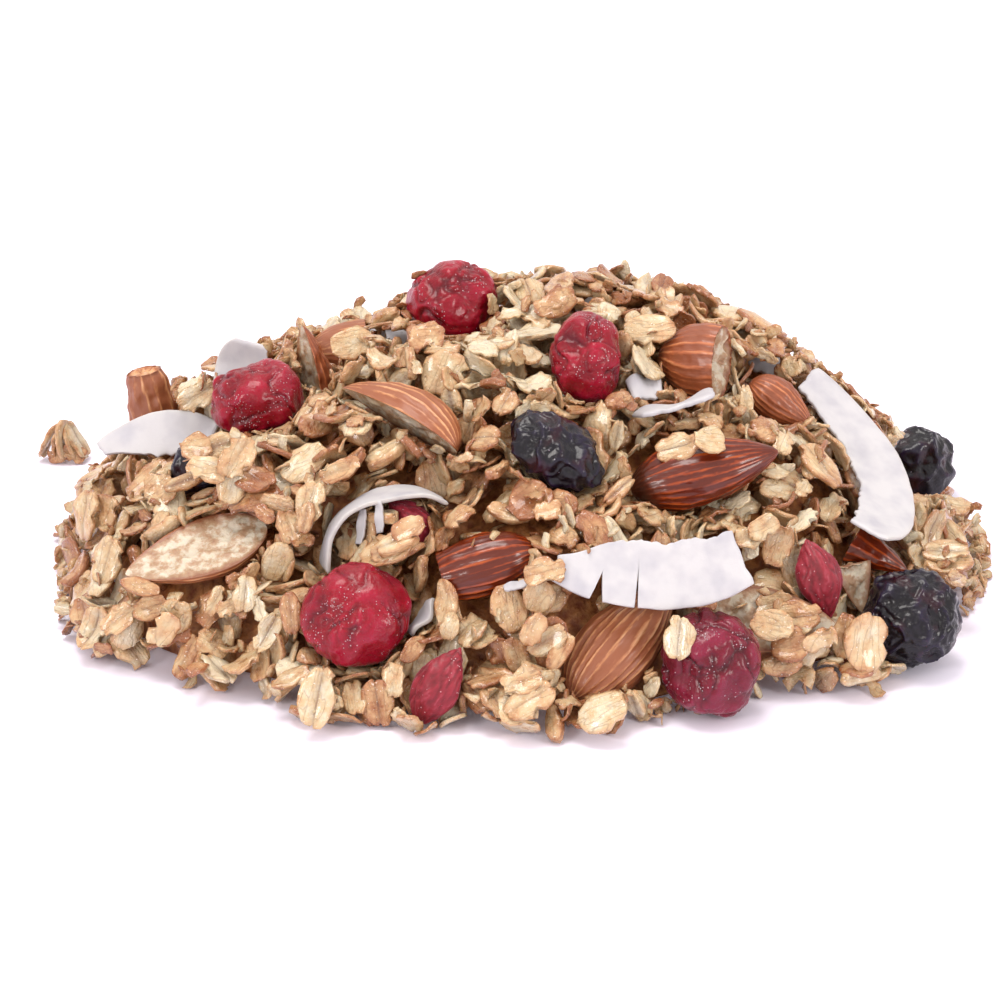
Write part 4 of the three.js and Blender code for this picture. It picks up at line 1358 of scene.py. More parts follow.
@dataclass
class FlakeMaker:
    """Makes flakes, no two the same."""

    rng: np.random.Generator
    relief: Relief = field(default_factory=lambda: Relief(77))

    def make(self, cut: Cut) -> Flake:
        """Makes one flake of a cut.

        Args:
            cut: The cut of flake.

        Returns:
            The flake, its length along +X and its creased side up.
        """
        form = FORMS[cut]
        spread = self.rng.uniform(0.84, 1.16, size=3)
        drawn = replace(
            form,
            length=form.length * spread[0],
            width=form.width * spread[1],
            thickness=form.thickness * spread[2],
            bow=form.bow * self.rng.uniform(-0.5, 1.6),
            cup=form.cup * self.rng.uniform(-1.0, 1.6),
            ruffle=form.ruffle * self.rng.uniform(0.5, 1.5),
            crease=form.crease * self.rng.choice((0.15, 0.6, 1.0)),
        )
        start = self.rng.uniform(0, 200, size=3)
        twist = self.rng.uniform(-0.5, 0.5)
        cracks = self.rng.uniform(size=(form.cracks, 3))
        fine_across = np.array([-1, -0.84, -0.5, -0.11, 0, 0.11, 0.5, 0.84, 1])
        coarse_across = np.array([-1, -0.6, 0, 0.6, 1])
        fine = self.skin(drawn, 10, fine_across, start, twist, cracks)
        coarse = self.skin(drawn, 6, coarse_across, start, twist, cracks)
        least = self.skin(drawn, 4, np.array([-1, 0, 1]), start, twist, cracks)
        samples = self.skin(drawn, 16, np.linspace(-1, 1, 13), start, twist, cracks).points
        return Flake(fine, coarse, least, samples)

    def skin(
        self,
        form: FlakeForm,
        steps: int,
        across: np.ndarray,
        start: np.ndarray,
        twist: float,
        cracks: np.ndarray,
    ) -> Skin:
        """Builds a flake's skin as coarse or as fine as asked.

        Args:
            form: The flake's own sizes.
            steps: Strips along its length.
            across: Shares of the half width at which points lie.
            start: Where in the noise this flake lies.
            twist: Millimetres that opposite corners rise.
            cracks: For each crack a share along the rim, a side and a depth, all from 0 to 1.

        Returns:
            The skin, with marks for toast (left at 0), rim, crease and nothing.
        """
        u = np.sin(np.linspace(-1, 1, steps + 1) * math.pi / 2)[:, None]
        v = across[None, :] * np.ones_like(u)
        half_length = form.length / 2
        half_width = form.width / 2
        girth = np.maximum(1 - np.abs(u) ** form.bluntness, 0) ** 0.5
        girth = girth + 0.16 * np.abs(u) ** 6
        angle = np.arctan2(v * half_width * girth, u * half_length)
        circle = np.stack((np.cos(angle).ravel(), np.sin(angle).ravel(), 0 * angle.ravel()), axis=1)
        lobes = self.relief.at(circle * 1.3 + start).reshape(angle.shape)
        teeth = self.relief.at(circle * 4.2 + start).reshape(angle.shape)
        rim = np.maximum(np.abs(u), np.abs(v)) * np.ones_like(v)
        out = 1 + (0.16 * lobes + 0.12 * teeth) * rim**2
        for place, side, depth in cracks:
            at = int(round((0.15 + 0.7 * place) * steps))
            toward = 1.0 if side > 0.5 else -1.0
            pulled = (0.16 + 0.42 * depth) * np.clip(v[at] * toward, 0, 1) ** 4
            out[at] = out[at] * (1 - pulled)
        x = half_length * u * np.where(np.abs(u) > 0.9, out, 1.0)
        x = x - np.sign(u) * 0.5 * form.crease * np.exp(-((v / 0.4) ** 2)) * np.abs(u) ** 8
        y = half_width * v * girth * out
        flat = np.stack((x.ravel(), y.ravel(), 0 * x.ravel()), axis=1)
        swell = self.relief.layered(flat / 2.6 + start, 3).reshape(x.shape)
        wave = self.relief.at(circle * 2.2 + start + 50).reshape(x.shape)
        middle = form.bow * (x / half_length) ** 2 + form.cup * (y / half_width) ** 2
        middle = middle + twist * x * y / half_length / half_width + 0.3 * swell
        middle = middle + form.ruffle * wave * rim**3
        thick = form.thickness / 2 * (0.56 + 0.44 * np.sqrt(np.clip(1 - rim**5, 0, 1)))
        furrow = np.exp(-((y / 0.24) ** 2)) * (1 - 0.7 * np.abs(u) ** 4)
        upper = middle + thick - 0.36 * form.crease * furrow
        lower = middle - thick + 0.1 * form.crease * furrow
        points = np.concatenate([np.stack((x, y, z), axis=2).reshape(-1, 3) for z in (upper, lower)])
        made = plain(points, sandwich(*x.shape))
        made.marks[:, 1] = np.tile(rim.ravel(), 2)
        made.marks[:, 2] = form.crease * np.append(furrow.ravel(), 0.4 * furrow.ravel())
        return replace(made, grain=points + start)


# ------------------------ the pile

SINKING = 0.12  # share of a flake's points that sink into what carries it
CLEARANCE = 0.3  # mm that flakes stay under a topping that isn't buried
SETTLE_STEPS = 16  # guesses at where a piece lies that shows at a pixel


@dataclass
class PhotoCamera:
    """The camera that the heap is seen by: a long lens, a little above the table."""

    target: Triple = (-1.8, -2.0, 12.6)
    distance: float = 700.0
    elevation: float = math.radians(24)
    lens: float = 153.7
    sensor: float = 36.0
    frame: int = 1000  # pixels across the square picture
    stride: Span = (6.1, 6.5)  # pixels to a millimetre, across and back over the heap's slope

    def place(self) -> np.ndarray:
        """Where the camera stands."""
        back = np.array((0, -math.cos(self.elevation), math.sin(self.elevation)))
        return np.array(self.target) + self.distance * back

    def seen(self, points: np.ndarray) -> tuple[np.ndarray, np.ndarray]:
        """Where points lie in the picture.

        Args:
            points: An n x 3 array of places.

        Returns:
            The pixels, from the upper left corner, and the distances into the picture.
        """
        ahead = np.array((0, math.cos(self.elevation), -math.sin(self.elevation)))
        up = np.array((0, math.sin(self.elevation), math.cos(self.elevation)))
        away = points - self.place()
        depth = away @ ahead
        scale = self.lens / self.sensor * self.frame / depth
        x = self.frame / 2 + away[:, 0] * scale
        y = self.frame / 2 - (away @ up) * scale
        return np.stack((x, y), axis=1), depth

    def build(self) -> bpy.types.Object:
        """Builds the camera and makes it the scene's."""
        data = bpy.data.cameras.new("camera")
        data.lens = self.lens
        data.sensor_width = self.sensor
        data.clip_start = 0.01
        camera = bpy.data.objects.new("camera", data)
        camera.location = Vector(self.place() * MM)
        camera.rotation_euler = Euler((math.pi / 2 - self.elevation, 0, 0))
        bpy.context.scene.collection.objects.link(camera)
        bpy.context.scene.camera = camera
        return camera


@dataclass
class Pile:
    """Heights over the table of what lies there so far, on a grid of small cells."""

    mound: Mound
    camera: PhotoCamera
    pitch: float = 0.5  # mm across a cell
    half_x: float = 100.0
    half_y: float = 80.0
    shade_cell: int = 3  # pixels across a cell of the picture

    def __post_init__(self) -> None:
        """Lays out the bare inside of the heap and the height that it is to be piled to."""
        x = np.arange(-self.half_x, self.half_x, self.pitch)
        y = np.arange(-self.half_y, self.half_y, self.pitch)
        self.x, self.y = np.meshgrid(x, y, indexing="ij")
        self.share = self.mound.reach(self.x, self.y)
        within = self.share < self.mound.inside_share
        self.top = np.where(within, self.mound.inside(self.x, self.y), 0.0)
        self.aimed = self.mound.aim(self.x, self.y)
        self.core = self.top.copy()
        self.goal = self.aimed
        self.low = np.full(self.x.shape, np.inf)
        self.high = np.full(self.x.shape, -np.inf)
        side = self.camera.frame // self.shade_cell + 1
        self.shown = np.full((side, side), np.inf)

    def cells(self, points: np.ndarray) -> tuple[np.ndarray, np.ndarray]:
        """The cells that points lie over."""
        i = ((points[:, 0] + self.half_x) / self.pitch).astype(int)
        j = ((points[:, 1] + self.half_y) / self.pitch).astype(int)
        return np.clip(i, 0, self.x.shape[0] - 1), np.clip(j, 0, self.x.shape[1] - 1)

    def add_topping(self, skin: Skin, margin: int, buried: bool) -> None:
        """Notes the room that a topping takes, and where it shows in the picture.

        Args:
            skin: The placed topping.
            margin: Cells of the picture by which flakes may lie over the topping's outline.
            buried: Whether flakes may lie on it as they lie on each other.
        """
        corners = skin.points[skin.triangles]
        middles = corners.mean(axis=1)
        edges = (corners + np.roll(corners, 1, axis=1)).reshape(-1, 3) / 2
        points = np.concatenate((skin.points, middles, edges))
        cells = self.cells(points)
        np.maximum.at(self.high, cells, points[:, 2])
        if buried:
            np.maximum.at(self.top, cells, points[:, 2])
        else:
            np.minimum.at(self.low, cells, points[:, 2])
        pixels, depth = self.camera.seen(points)
        spots = tuple((pixels // self.shade_cell).astype(int).T[::-1])
        shown = np.full(self.shown.shape, np.inf)
        np.minimum.at(shown, spots, depth)
        for _ in range(margin):
            spread = [np.roll(shown, step, axis) for axis in (0, 1) for step in (-1, 1)]
            shown = np.maximum.reduce([shown, *spread])
        self.shown = np.minimum(self.shown, shown)
        self.goal = np.minimum(self.goal, self.low - 0.4)

    def rise(self, samples: np.ndarray, ease: float, on_toppings: bool = False) -> float:
        """How far samples rise until they lie on the pile.

        Args:
            samples: Points of the piece, turned as it lies.
            ease: Share of the points that may sink into what lies there.
            on_toppings: Whether the toppings carry the piece too.

        Returns:
            The height to add.
        """
        cells = self.cells(samples)
        under = np.maximum(self.top[cells], self.high[cells]) if on_toppings else self.top[cells]
        gap = under - samples[:, 2]
        kept = max(int(len(gap) * (1 - ease)) - 1, 0)
        return float(np.partition(gap, kept)[kept])

    def fits(self, samples: np.ndarray) -> bool:
        """Whether samples keep clear of every topping and hide none of it from the camera."""
        cells = self.cells(samples)
        z = samples[:, 2]
        if np.any(z > self.low[cells] - CLEARANCE) or z.min() < -CLEARANCE:
            return False
        pixels, depth = self.camera.seen(samples)
        spots = np.clip((pixels // self.shade_cell).astype(int), 0, len(self.shown) - 1)
        behind = self.shown[spots[:, 1], spots[:, 0]]
        return not np.any(np.isfinite(behind) & (behind > depth))

    def lay(self, samples: np.ndarray) -> None:
        """Raises the pile to samples that came to lie."""
        np.maximum.at(self.top, self.cells(samples), samples[:, 2])

    def bare(self, samples: np.ndarray) -> float:
        """Share of samples that nothing lies on."""
        return float(np.mean(samples[:, 2] > self.top[self.cells(samples)] - 0.35))

    def under(self, pixel: tuple[int, int]) -> np.ndarray:
        """Where the pile shows at a pixel: the X and Y of the frontmost cell seen there."""
        top = np.maximum.reduce([self.top, self.high, 0 * self.top])
        places = np.stack((self.x.ravel(), self.y.ravel(), top.ravel()), axis=1)
        pixels, depth = self.camera.seen(places)
        away = np.abs(pixels - pixel).max(axis=1)
        near = away < max(4.0, away.min() + 2)
        return places[near][np.argmin(depth[near]), :2]

    def settle(
        self, samples: np.ndarray, pixel: tuple[int, int], on_toppings: bool = True
    ) -> np.ndarray:
        """Finds where a piece lies on the pile or a topping so that it shows at a pixel.

        Args:
            samples: Points of the piece around its middle, turned as it lies.
            pixel: Where its middle shows in the picture.
            on_toppings: Whether the toppings carry it too.

        Returns:
            The place of its middle.
        """
        spot = self.under(pixel)
        best = None
        for _ in range(SETTLE_STEPS):
            moved = samples + (*spot, 0)
            rise = max(self.rise(moved, SINKING, on_toppings), -moved[:, 2].min())
            place = np.array((*spot, rise))
            across, down = np.array(pixel) - self.camera.seen(place[None, :])[0][0]
            error = math.hypot(across, down)
            if best is None or error < best[0]:
                best = (error, place)
            spot = spot + (across / self.camera.stride[0], -down / self.camera.stride[1])
        self.lay(samples + best[1])
        return best[1]

    def slope(self, x: float, y: float) -> np.ndarray:
        """Direction that the heap's even surface faces at a place."""
        spots = np.array([[x + 2, x - 2, x, x], [y, y, y + 2, y - 2]])
        heights = self.mound.surface(spots[0], spots[1])
        return unit((heights[1] - heights[0], heights[3] - heights[2], 4.0))


@dataclass(frozen=True)
class Hero:
    """A listed flake: where it shows in the picture, and how it lies."""

    cut: Cut
    pixel: tuple[int, int]  # where its middle shows in the picture
    along: Triple
    face: Triple
    size: float = 1.0
    toast: float = 0.3
    variant: int = 0


LEVEL = (1.0, 0.1, 0.1)  # along the heap
FRONT = (0.0, -0.85, 0.53)  # towards the camera

# The flakes placed one by one, in the order in which they came to lie. Most of them stand out in
# the photo; the rest close gaps between the others.
HEROES = (
    Hero(Cut.FLAT, (353, 344), LEVEL, (0.1, -0.75, 0.66), 0.9, 0.36, 1),
    Hero(Cut.RAGGED, (426, 338), LEVEL, (0.1, -0.7, 0.7), 1.05, 0.6, 2),
    Hero(Cut.CURLED, (556, 303), (0.9, 0.1, 0.35), (0.1, -0.8, 0.6), 1.0, 0.66, 3),
    Hero(Cut.FLAT, (650, 330), LEVEL, (0.1, -0.7, 0.7), 0.95, 0.34, 4),
    Hero(Cut.FLAT, (232, 482), (0.2, 0.4, 0.9), FRONT, 0.86, 0.24, 5),
    Hero(Cut.GROAT, (291, 617), (-0.1, 0.4, 0.91), FRONT, 1.05, 0.72, 6),
    Hero(Cut.RAGGED, (197, 396), (0.8, 0.2, 0.5), (0.2, -0.8, 0.55), 0.9, 0.2, 8),
    Hero(Cut.CURLED, (380, 556), (0.93, 0.05, 0.36), (-0.2, -0.3, 0.93), 1.0, 0.5, 9),
    Hero(Cut.FLAT, (392, 549), (0.93, 0.05, 0.36), (-0.2, -0.5, 0.83), 1.0, 0.42, 10),
    Hero(Cut.GROAT, (398, 543), (0.93, 0.1, 0.36), (-0.2, -0.4, 0.9), 1.1, 0.4, 11),
    Hero(Cut.SHARD, (408, 529), (0.8, 0.1, 0.5), (0, -0.9, 0.4), 1.2, 0.55, 12),
    Hero(Cut.FLAT, (245, 595), (0.1, 0.4, 0.91), FRONT, 0.8, 0.16, 13),
    Hero(Cut.CURLED, (268, 632), (0.5, 0.35, 0.8), FRONT, 0.85, 0.12, 0),
    Hero(Cut.FLAT, (318, 691), (0.2, 0.38, 0.9), FRONT, 1.14, 0.22, 2),
    Hero(Cut.RAGGED, (518, 710), (0.9, 0.1, 0.1), (0.1, -0.6, 0.8), 1.05, 0.3, 3),
    Hero(Cut.CURLED, (530, 700), (0.8, 0.3, 0.4), (-0.3, -0.7, 0.6), 1.0, 0.36, 4),
    Hero(Cut.RAGGED, (522, 682), (0.9, 0.2, 0.2), (0.2, -0.6, 0.75), 0.95, 0.42, 5),
    Hero(Cut.CURLED, (602, 712), (0.85, 0.1, 0.45), (-0.3, -0.6, 0.7), 1.0, 0.2, 7),
    Hero(Cut.RAGGED, (800, 676), (0.9, -0.2, 0.2), (0.1, -0.8, 0.5), 0.95, 0.3, 2),
    Hero(Cut.CURLED, (784, 662), (0.9, -0.1, 0.3), (-0.1, -0.8, 0.6), 0.9, 0.62, 3),
    Hero(Cut.SHARD, (812, 664), (0.7, -0.1, 0.6), (0.1, -0.9, 0.3), 1.2, 0.3, 4),
    Hero(Cut.CURLED, (790, 646), (0.95, -0.1, 0.2), (0.1, -0.7, 0.7), 1.0, 0.7, 9),
    Hero(Cut.SHARD, (822, 640), (0.8, -0.2, 0.5), (0.3, -0.85, 0.4), 1.3, 0.4, 10),
    Hero(Cut.GROAT, (845, 636), (0.15, 0.3, 0.94), (-0.5, -0.8, 0.3), 1.15, 0.5, 11),
    Hero(Cut.CURLED, (866, 642), (0.12, 0.35, 0.93), (0.4, -0.85, 0.3), 1.25, 0.36, 12),
    Hero(Cut.RAGGED, (774, 603), (0.9, -0.1, 0.3), (-0.1, -0.8, 0.6), 0.95, 0.5, 13),
    Hero(Cut.FLAT, (795, 618), (0.9, -0.2, 0.2), (0.1, -0.8, 0.6), 1.0, 0.55, 3),
    Hero(Cut.CURLED, (772, 626), (0.9, -0.1, -0.2), (-0.1, -0.8, 0.6), 1.1, 0.4, 5),
    Hero(Cut.RAGGED, (160, 490), (0.7, 0.2, 0.6), (-0.2, -0.8, 0.6), 1.0, 0.42, 6),
    Hero(Cut.GROAT, (184, 482), (0.9, 0.1, 0.3), (0.0, -0.8, 0.6), 0.9, 0.5, 2),
    Hero(Cut.CURLED, (216, 446), (0.9, 0.1, 0.3), (0.0, -0.8, 0.6), 0.8, 0.36, 1),
    Hero(Cut.SHARD, (208, 486), (0.9, 0.1, -0.2), (0.0, -0.8, 0.6), 1.3, 0.3, 4),
    Hero(Cut.RAGGED, (240, 461), (0.5, 0.3, 0.8), (0.2, -0.8, 0.6), 1.0, 0.36, 8),
    Hero(Cut.CURLED, (196, 449), (0.95, 0.1, 0.1), (0.0, -0.6, 0.8), 0.8, 0.5, 9),
    Hero(Cut.CURLED, (930, 530), (0.3, 0.3, 0.9), (0.6, -0.7, 0.4), 1.0, 0.36, 0),
    Hero(Cut.FLAT, (950, 562), (0.97, -0.2, 0.05), (0.1, -0.35, 0.93), 0.95, 0.45, 1),
    Hero(Cut.FLAT, (946, 552), (0.97, -0.1, 0.05), (0.2, -0.4, 0.9), 0.9, 0.3, 2),
    Hero(Cut.RAGGED, (104, 512), (0.2, 0.3, 0.93), (-0.4, -0.85, 0.35), 1.0, 0.5, 3),
    Hero(Cut.CURLED, (84, 508), (0.1, 0.3, 0.95), (-0.7, -0.6, 0.35), 1.0, 0.42, 4),
    Hero(Cut.FLAT, (108, 560), (0.3, 0.3, 0.9), (-0.5, -0.8, 0.4), 0.95, 0.3, 5),
    Hero(Cut.CURLED, (96, 628), (0.4, 0.3, 0.86), (-0.5, -0.8, 0.35), 1.0, 0.24, 6),
    Hero(Cut.FLAT, (126, 632), (0.3, 0.3, 0.9), (0.2, -0.9, 0.4), 0.95, 0.2, 7),
    Hero(Cut.RAGGED, (118, 620), (0.7, 0.2, 0.6), (-0.2, -0.8, 0.5), 0.9, 0.4, 4),
    Hero(Cut.CURLED, (150, 620), (0.9, 0.1, 0.2), (-0.1, -0.8, 0.6), 0.9, 0.56, 5),
    Hero(Cut.FLAT, (176, 612), (0.4, 0.2, 0.85), (0.2, -0.8, 0.5), 0.8, 0.3, 6),
    Hero(Cut.GROAT, (138, 630), (0.9, 0.1, -0.3), (0.0, -0.8, 0.6), 0.9, 0.6, 7),
    Hero(Cut.SHARD, (164, 630), (0.5, 0.2, 0.8), (0.1, -0.9, 0.4), 1.3, 0.4, 8),
    Hero(Cut.CURLED, (540, 604), (0.3, 0.3, 0.9), (0.3, -0.8, 0.5), 0.85, 0.36, 9),
    Hero(Cut.RAGGED, (543, 614), (0.9, 0.1, 0.2), (-0.1, -0.8, 0.6), 0.9, 0.5, 10),
    Hero(Cut.FLAT, (548, 640), (0.8, 0.1, 0.5), (0.1, -0.8, 0.6), 0.8, 0.26, 11),
    Hero(Cut.RAGGED, (322, 484), (0.8, 0.1, 0.5), (-0.1, -0.8, 0.6), 0.9, 0.4, 3),
    Hero(Cut.CURLED, (310, 500), (0.3, 0.3, 0.9), (-0.2, -0.8, 0.5), 0.85, 0.3, 4),
    Hero(Cut.SHARD, (340, 476), (0.8, 0.2, 0.3), (0.1, -0.8, 0.5), 1.2, 0.5, 5),
    Hero(Cut.GROAT, (306, 524), (0.2, 0.3, 0.9), (-0.2, -0.8, 0.5), 0.8, 0.5, 6),
    Hero(Cut.SHARD, (534, 630), (0.4, 0.2, 0.85), (0.1, -0.9, 0.4), 1.2, 0.44, 12),
    Hero(Cut.RAGGED, (752, 542), (0.9, 0.1, 0.2), (0.0, -0.8, 0.6), 0.9, 0.4, 1),
    Hero(Cut.CURLED, (774, 546), (0.3, 0.3, 0.9), (0.1, -0.8, 0.5), 0.9, 0.5, 2),
    Hero(Cut.SHARD, (764, 528), (0.8, 0.2, 0.4), (0.1, -0.8, 0.5), 1.2, 0.34, 3),
    Hero(Cut.FLAT, (676, 448), (0.9, -0.05, 0.3), (-0.1, -0.7, 0.7), 0.95, 0.4, 8),
    Hero(Cut.CURLED, (709, 442), (0.95, 0.1, -0.2), (0.1, -0.6, 0.8), 0.8, 0.3, 9),
    Hero(Cut.FLAT, (679, 638), (0.1, 0.45, 0.88), (-0.15, -0.85, 0.5), 0.95, 0.06, 10),
)


@dataclass
class Flakes:
    """All the loose oat flakes of the heap, piled up from the dark inside to the surface."""

    count: int = 3800  # drops, of which many find no room
    variants: int = 14  # flakes of each cut that are laid many times
    tries: int = 12  # other flakes and places tried for a drop
    patience: int = 6  # tries before the flakes that are tried get smaller
    shrink: float = 0.06  # share by which they get smaller from try to try
    size: Span = (0.74, 1.16)
    deepest: float = 6.0  # mm of missing height over which no more flakes are drawn to a place
    room: float = 0.6  # mm that must be missing where a flake joins a stack
    stand_out: float = 6.5  # mm that a flake may stand out of the heap's even surface
    face_down: float = 0.35  # share of the flakes with their crease underneath
    mean_toast: float = 0.42
    toast_spread: Span = (0.22, 0.25)  # from cluster to cluster, and from flake to flake
    cluster: Span = (11.0, 14.0)  # mm over which flakes lean alike and are baked alike
    lean: Span = (0.9, 0.5)  # radians that a flake leans out of the surface, and their spread
    stacking: float = 0.6  # share of the flakes that lie on their forerunner like shingles
    step: Span = (1.5, 0.9)  # mm from a flake to the next of its stack, and its spread
    loosening: float = 0.2  # radians by which it lies otherwise
    bare_share: float = 0.23  # share of a flake that lies bare where it is built the finest
    seed: int = 906
    cuts: dict[Cut, float] = field(
        default_factory=lambda: {
            Cut.FLAT: 0.27, Cut.CURLED: 0.26, Cut.RAGGED: 0.23, Cut.GROAT: 0.1, Cut.SHARD: 0.14
        }
    )

    def __post_init__(self) -> None:
        """Seeds the draws and makes the flakes that are then laid many times."""
        self.rng = np.random.default_rng(self.seed)
        self.relief = Relief(self.seed)
        maker = FlakeMaker(self.rng)
        self.stock = {cut: [maker.make(cut) for _ in range(self.variants)] for cut in Cut}
        self.laid: dict[Cut, list[LaidFlake]] = {cut: [] for cut in Cut}

    def turn(self, pile: Pile, x: float, y: float) -> np.ndarray:
        """Draws how a flake lies at a place: flakes near each other lean alike."""
        up = pile.slope(x, y)
        spot = np.array([[x / self.cluster[0], y / self.cluster[0], 0.5]])
        bearing = 5.0 * self.relief.at(spot)[0] + self.rng.normal(0, 0.9)
        lean = min(abs(self.rng.normal(*self.lean)), 1.5)
        side = unit(np.cross(up, (math.cos(bearing), math.sin(bearing), 0.01)))
        face = unit(up * math.cos(lean) + side * math.sin(lean))
        spin = self.rng.uniform(0, 2 * math.pi)
        along = np.cross(face, (math.cos(spin), math.sin(spin), 0.2))
        if self.rng.uniform() < self.face_down:
            face = -face
        return turned_to(along, face)

    def toast(self, x: float, y: float) -> float:
        """Draws how brown a flake is baked: clusters differ, and flakes in them too."""
        spot = np.array([[x / self.cluster[1], y / self.cluster[1], 3.5]])
        near, own = self.toast_spread
        toast = self.mean_toast + near * self.relief.at(spot)[0] + self.rng.normal(0, own)
        return float(np.clip(toast, 0.0, 0.95))

    def pile_up(self, pile: Pile) -> None:
        """Lays the flakes one after another where the pile is lowest under its goal."""
        names = list(self.cuts)
        weights = np.array(list(self.cuts.values()))
        last = None
        for _ in range(self.count):
            lack = np.clip(pile.goal - pile.top, 0, self.deepest)
            total = np.cumsum((lack * np.sqrt(lack)).ravel())
            if total[-1] < 1:
                break
            for failed in range(self.tries):
                cut = names[self.rng.choice(len(names), p=weights / weights.sum())]
                flake = self.stock[cut][self.rng.integers(self.variants)]
                stacked = last is not None and self.rng.uniform() < self.stacking
                if stacked:
                    x, y, turns = self.beside(last)
                    stacked = lack[pile.cells(np.array([[x, y, 0.0]]))][0] > self.room
                if not stacked:
                    cell = np.searchsorted(total, self.rng.uniform(0, total[-1]))
                    x, y = pile.x.ravel()[cell], pile.y.ravel()[cell]
                    turns = [self.turn(pile, x, y) for _ in range(self.rng.integers(1, 3))]
                smaller = self.shrink * max(failed - self.patience, 0)
                size = self.rng.uniform(*self.size) * (1 - smaller)
                last = self.drop(pile, flake, cut, (x, y), turns, size)
                if last is not None:
                    break
        left = np.clip(pile.goal - pile.top, 0, self.deepest)[pile.share < 1]
        LOG.info("flakes laid, mean height still missing %.2f mm", left.mean())

    def beside(self, last: LaidFlake) -> tuple[float, float, list[np.ndarray]]:
        """Draws where the next flake of a stack falls, and how it lies."""
        face = last.turn[:, 2] * math.copysign(1.0, last.turn[2, 2])
        step = face[:2] * self.step[0] + self.rng.normal(0, self.step[1], size=2)
        loosened = np.array(Euler(self.rng.normal(0, self.loosening, size=3)).to_matrix())
        spun = np.array(Euler((0, 0, self.rng.uniform(-0.9, 0.9))).to_matrix())
        return *(last.place[:2] + step), [loosened @ last.turn @ spun]

    def drop(
        self,
        pile: Pile,
        flake: Flake,
        cut: Cut,
        spot: Span,
        turns: list[np.ndarray],
        size: float,
    ) -> LaidFlake | None:
        """Lets a flake fall at a place, and keeps it if it fits there.

        Args:
            pile: What it falls on.
            flake: The flake.
            cut: The flake's cut.
            spot: Where its middle falls.
            turns: Ways in which it may lie, of which it takes the lowest.
            size: Its share of its form's size.

        Returns:
            The flake where it lies, or None if it doesn't fit.
        """
        best = None
        for turn in turns:
            samples = (flake.samples * size) @ turn.T + (*spot, 0)
            height = max(pile.rise(samples, SINKING), -samples[:, 2].min())
            if best is None or height < best[0]:
                best = (height, turn, samples)
        height, turn, samples = best
        samples = samples + (0, 0, height)
        over = samples[:, 2] - pile.mound.surface(samples[:, 0], samples[:, 1])
        if over.max() > self.stand_out or not pile.fits(samples):
            return None
        pile.lay(samples)
        toast = self.toast(*spot)
        laid = LaidFlake(
            flake, turn, np.array((*spot, height)), size, toast, self.rng.uniform(0, 50, size=3)
        )
        self.laid[cut].append(laid)
        return laid

    def lay_heroes(self, pile: Pile) -> None:
        """Lays the listed flakes on top of what carries them."""
        for hero in HEROES:
            flake = self.stock[hero.cut][hero.variant]
            turn = turned_to(hero.along, hero.face)
            place = pile.settle((flake.samples * hero.size) @ turn.T, hero.pixel)
            shift = self.rng.uniform(0, 50, size=3)
            self.laid[hero.cut].append(LaidFlake(flake, turn, place, hero.size, hero.toast, shift))

    def build(self, pile: Pile) -> list[bpy.types.Object]:
        """Joins the laid flakes of each cut into one piece, the bare ones built the finest."""
        pieces = []
        for cut, flakes in self.laid.items():
            skins = []
            fine = 0
            for laid in flakes:
                bare = pile.bare(laid.samples())
                fine += bare > self.bare_share
                form = laid.flake.fine if bare > self.bare_share else laid.flake.coarse
                skins.append(laid.skin(form if bare > 0.02 else laid.flake.least))
            whole = joined(skins)
            pieces.append(whole.raised_to(f"oats_{cut.value}", [OAT]))
            LOG.info(
                "%s oats: %d flakes, %d of them bare, %d triangles",
                cut.value, len(skins), fine, len(whole.triangles),
            )
        return pieces


@dataclass
class Crumbs:
    """Small broken bits of oat and honey, caught in the gaps between the flakes."""

    count: int = 1900
    drops: int = 5700  # drops at most, as many find no room
    batch: int = 200  # drops before the low places are looked for again
    size: Span = (0.34, 0.8)  # share of a shard's size
    sinking: float = 0.4  # share of a bit's points that sink into what carries it
    toast: Span = (0.45, 0.22)  # how brown the bits are, and the spread of that
    bare_weight: float = 8.0  # weight of a place where the dark inside lies bare
    bare_gain: float = 4.0  # how much more its missing height counts there
    variants: int = 12
    seed: int = 77

    def build(self, pile: Pile) -> bpy.types.Object:
        """Scatters the bits over the pile, more of them where it is low or its inside is bare."""
        rng = np.random.default_rng(self.seed)
        maker = FlakeMaker(rng)
        stock = [maker.make(Cut.SHARD) for _ in range(self.variants)]
        inside = (pile.share < 1.0).ravel()
        skins = []
        for number in range(self.drops):
            if number % self.batch == 0:
                lack = np.clip(pile.aimed - pile.top, 0.1, 6) ** 1.5
                bare = pile.top < pile.core + 0.3
                lack = np.where(bare, self.bare_gain * lack + self.bare_weight, lack)
                total = np.cumsum(inside * lack.ravel())
            cell = np.searchsorted(total, rng.uniform(0, total[-1]))
            middle = np.array((pile.x.ravel()[cell], pile.y.ravel()[cell], 0.0))
            bit = stock[rng.integers(self.variants)]
            turn = turned_to(rng.normal(size=3), rng.normal(size=3))
            size = rng.uniform(*self.size)
            samples = (bit.samples[::5] * size) @ turn.T + middle
            middle[2] = max(pile.rise(samples, self.sinking), -samples[:, 2].min())
            samples = samples + (0, 0, middle[2])
            if not pile.fits(samples):
                continue
            pile.lay(samples)
            toast = np.clip(rng.normal(*self.toast), 0, 0.95)
            laid = LaidFlake(bit, turn, middle, size, toast, rng.uniform(0, 50, size=3))
            skins.append(laid.skin(bit.least))
            if len(skins) == self.count:
                break
        whole = joined(skins)
        LOG.info("crumbs: %d bits, %d triangles", len(skins), len(whole.triangles))
        return whole.raised_to("oat_crumbs", [OAT])


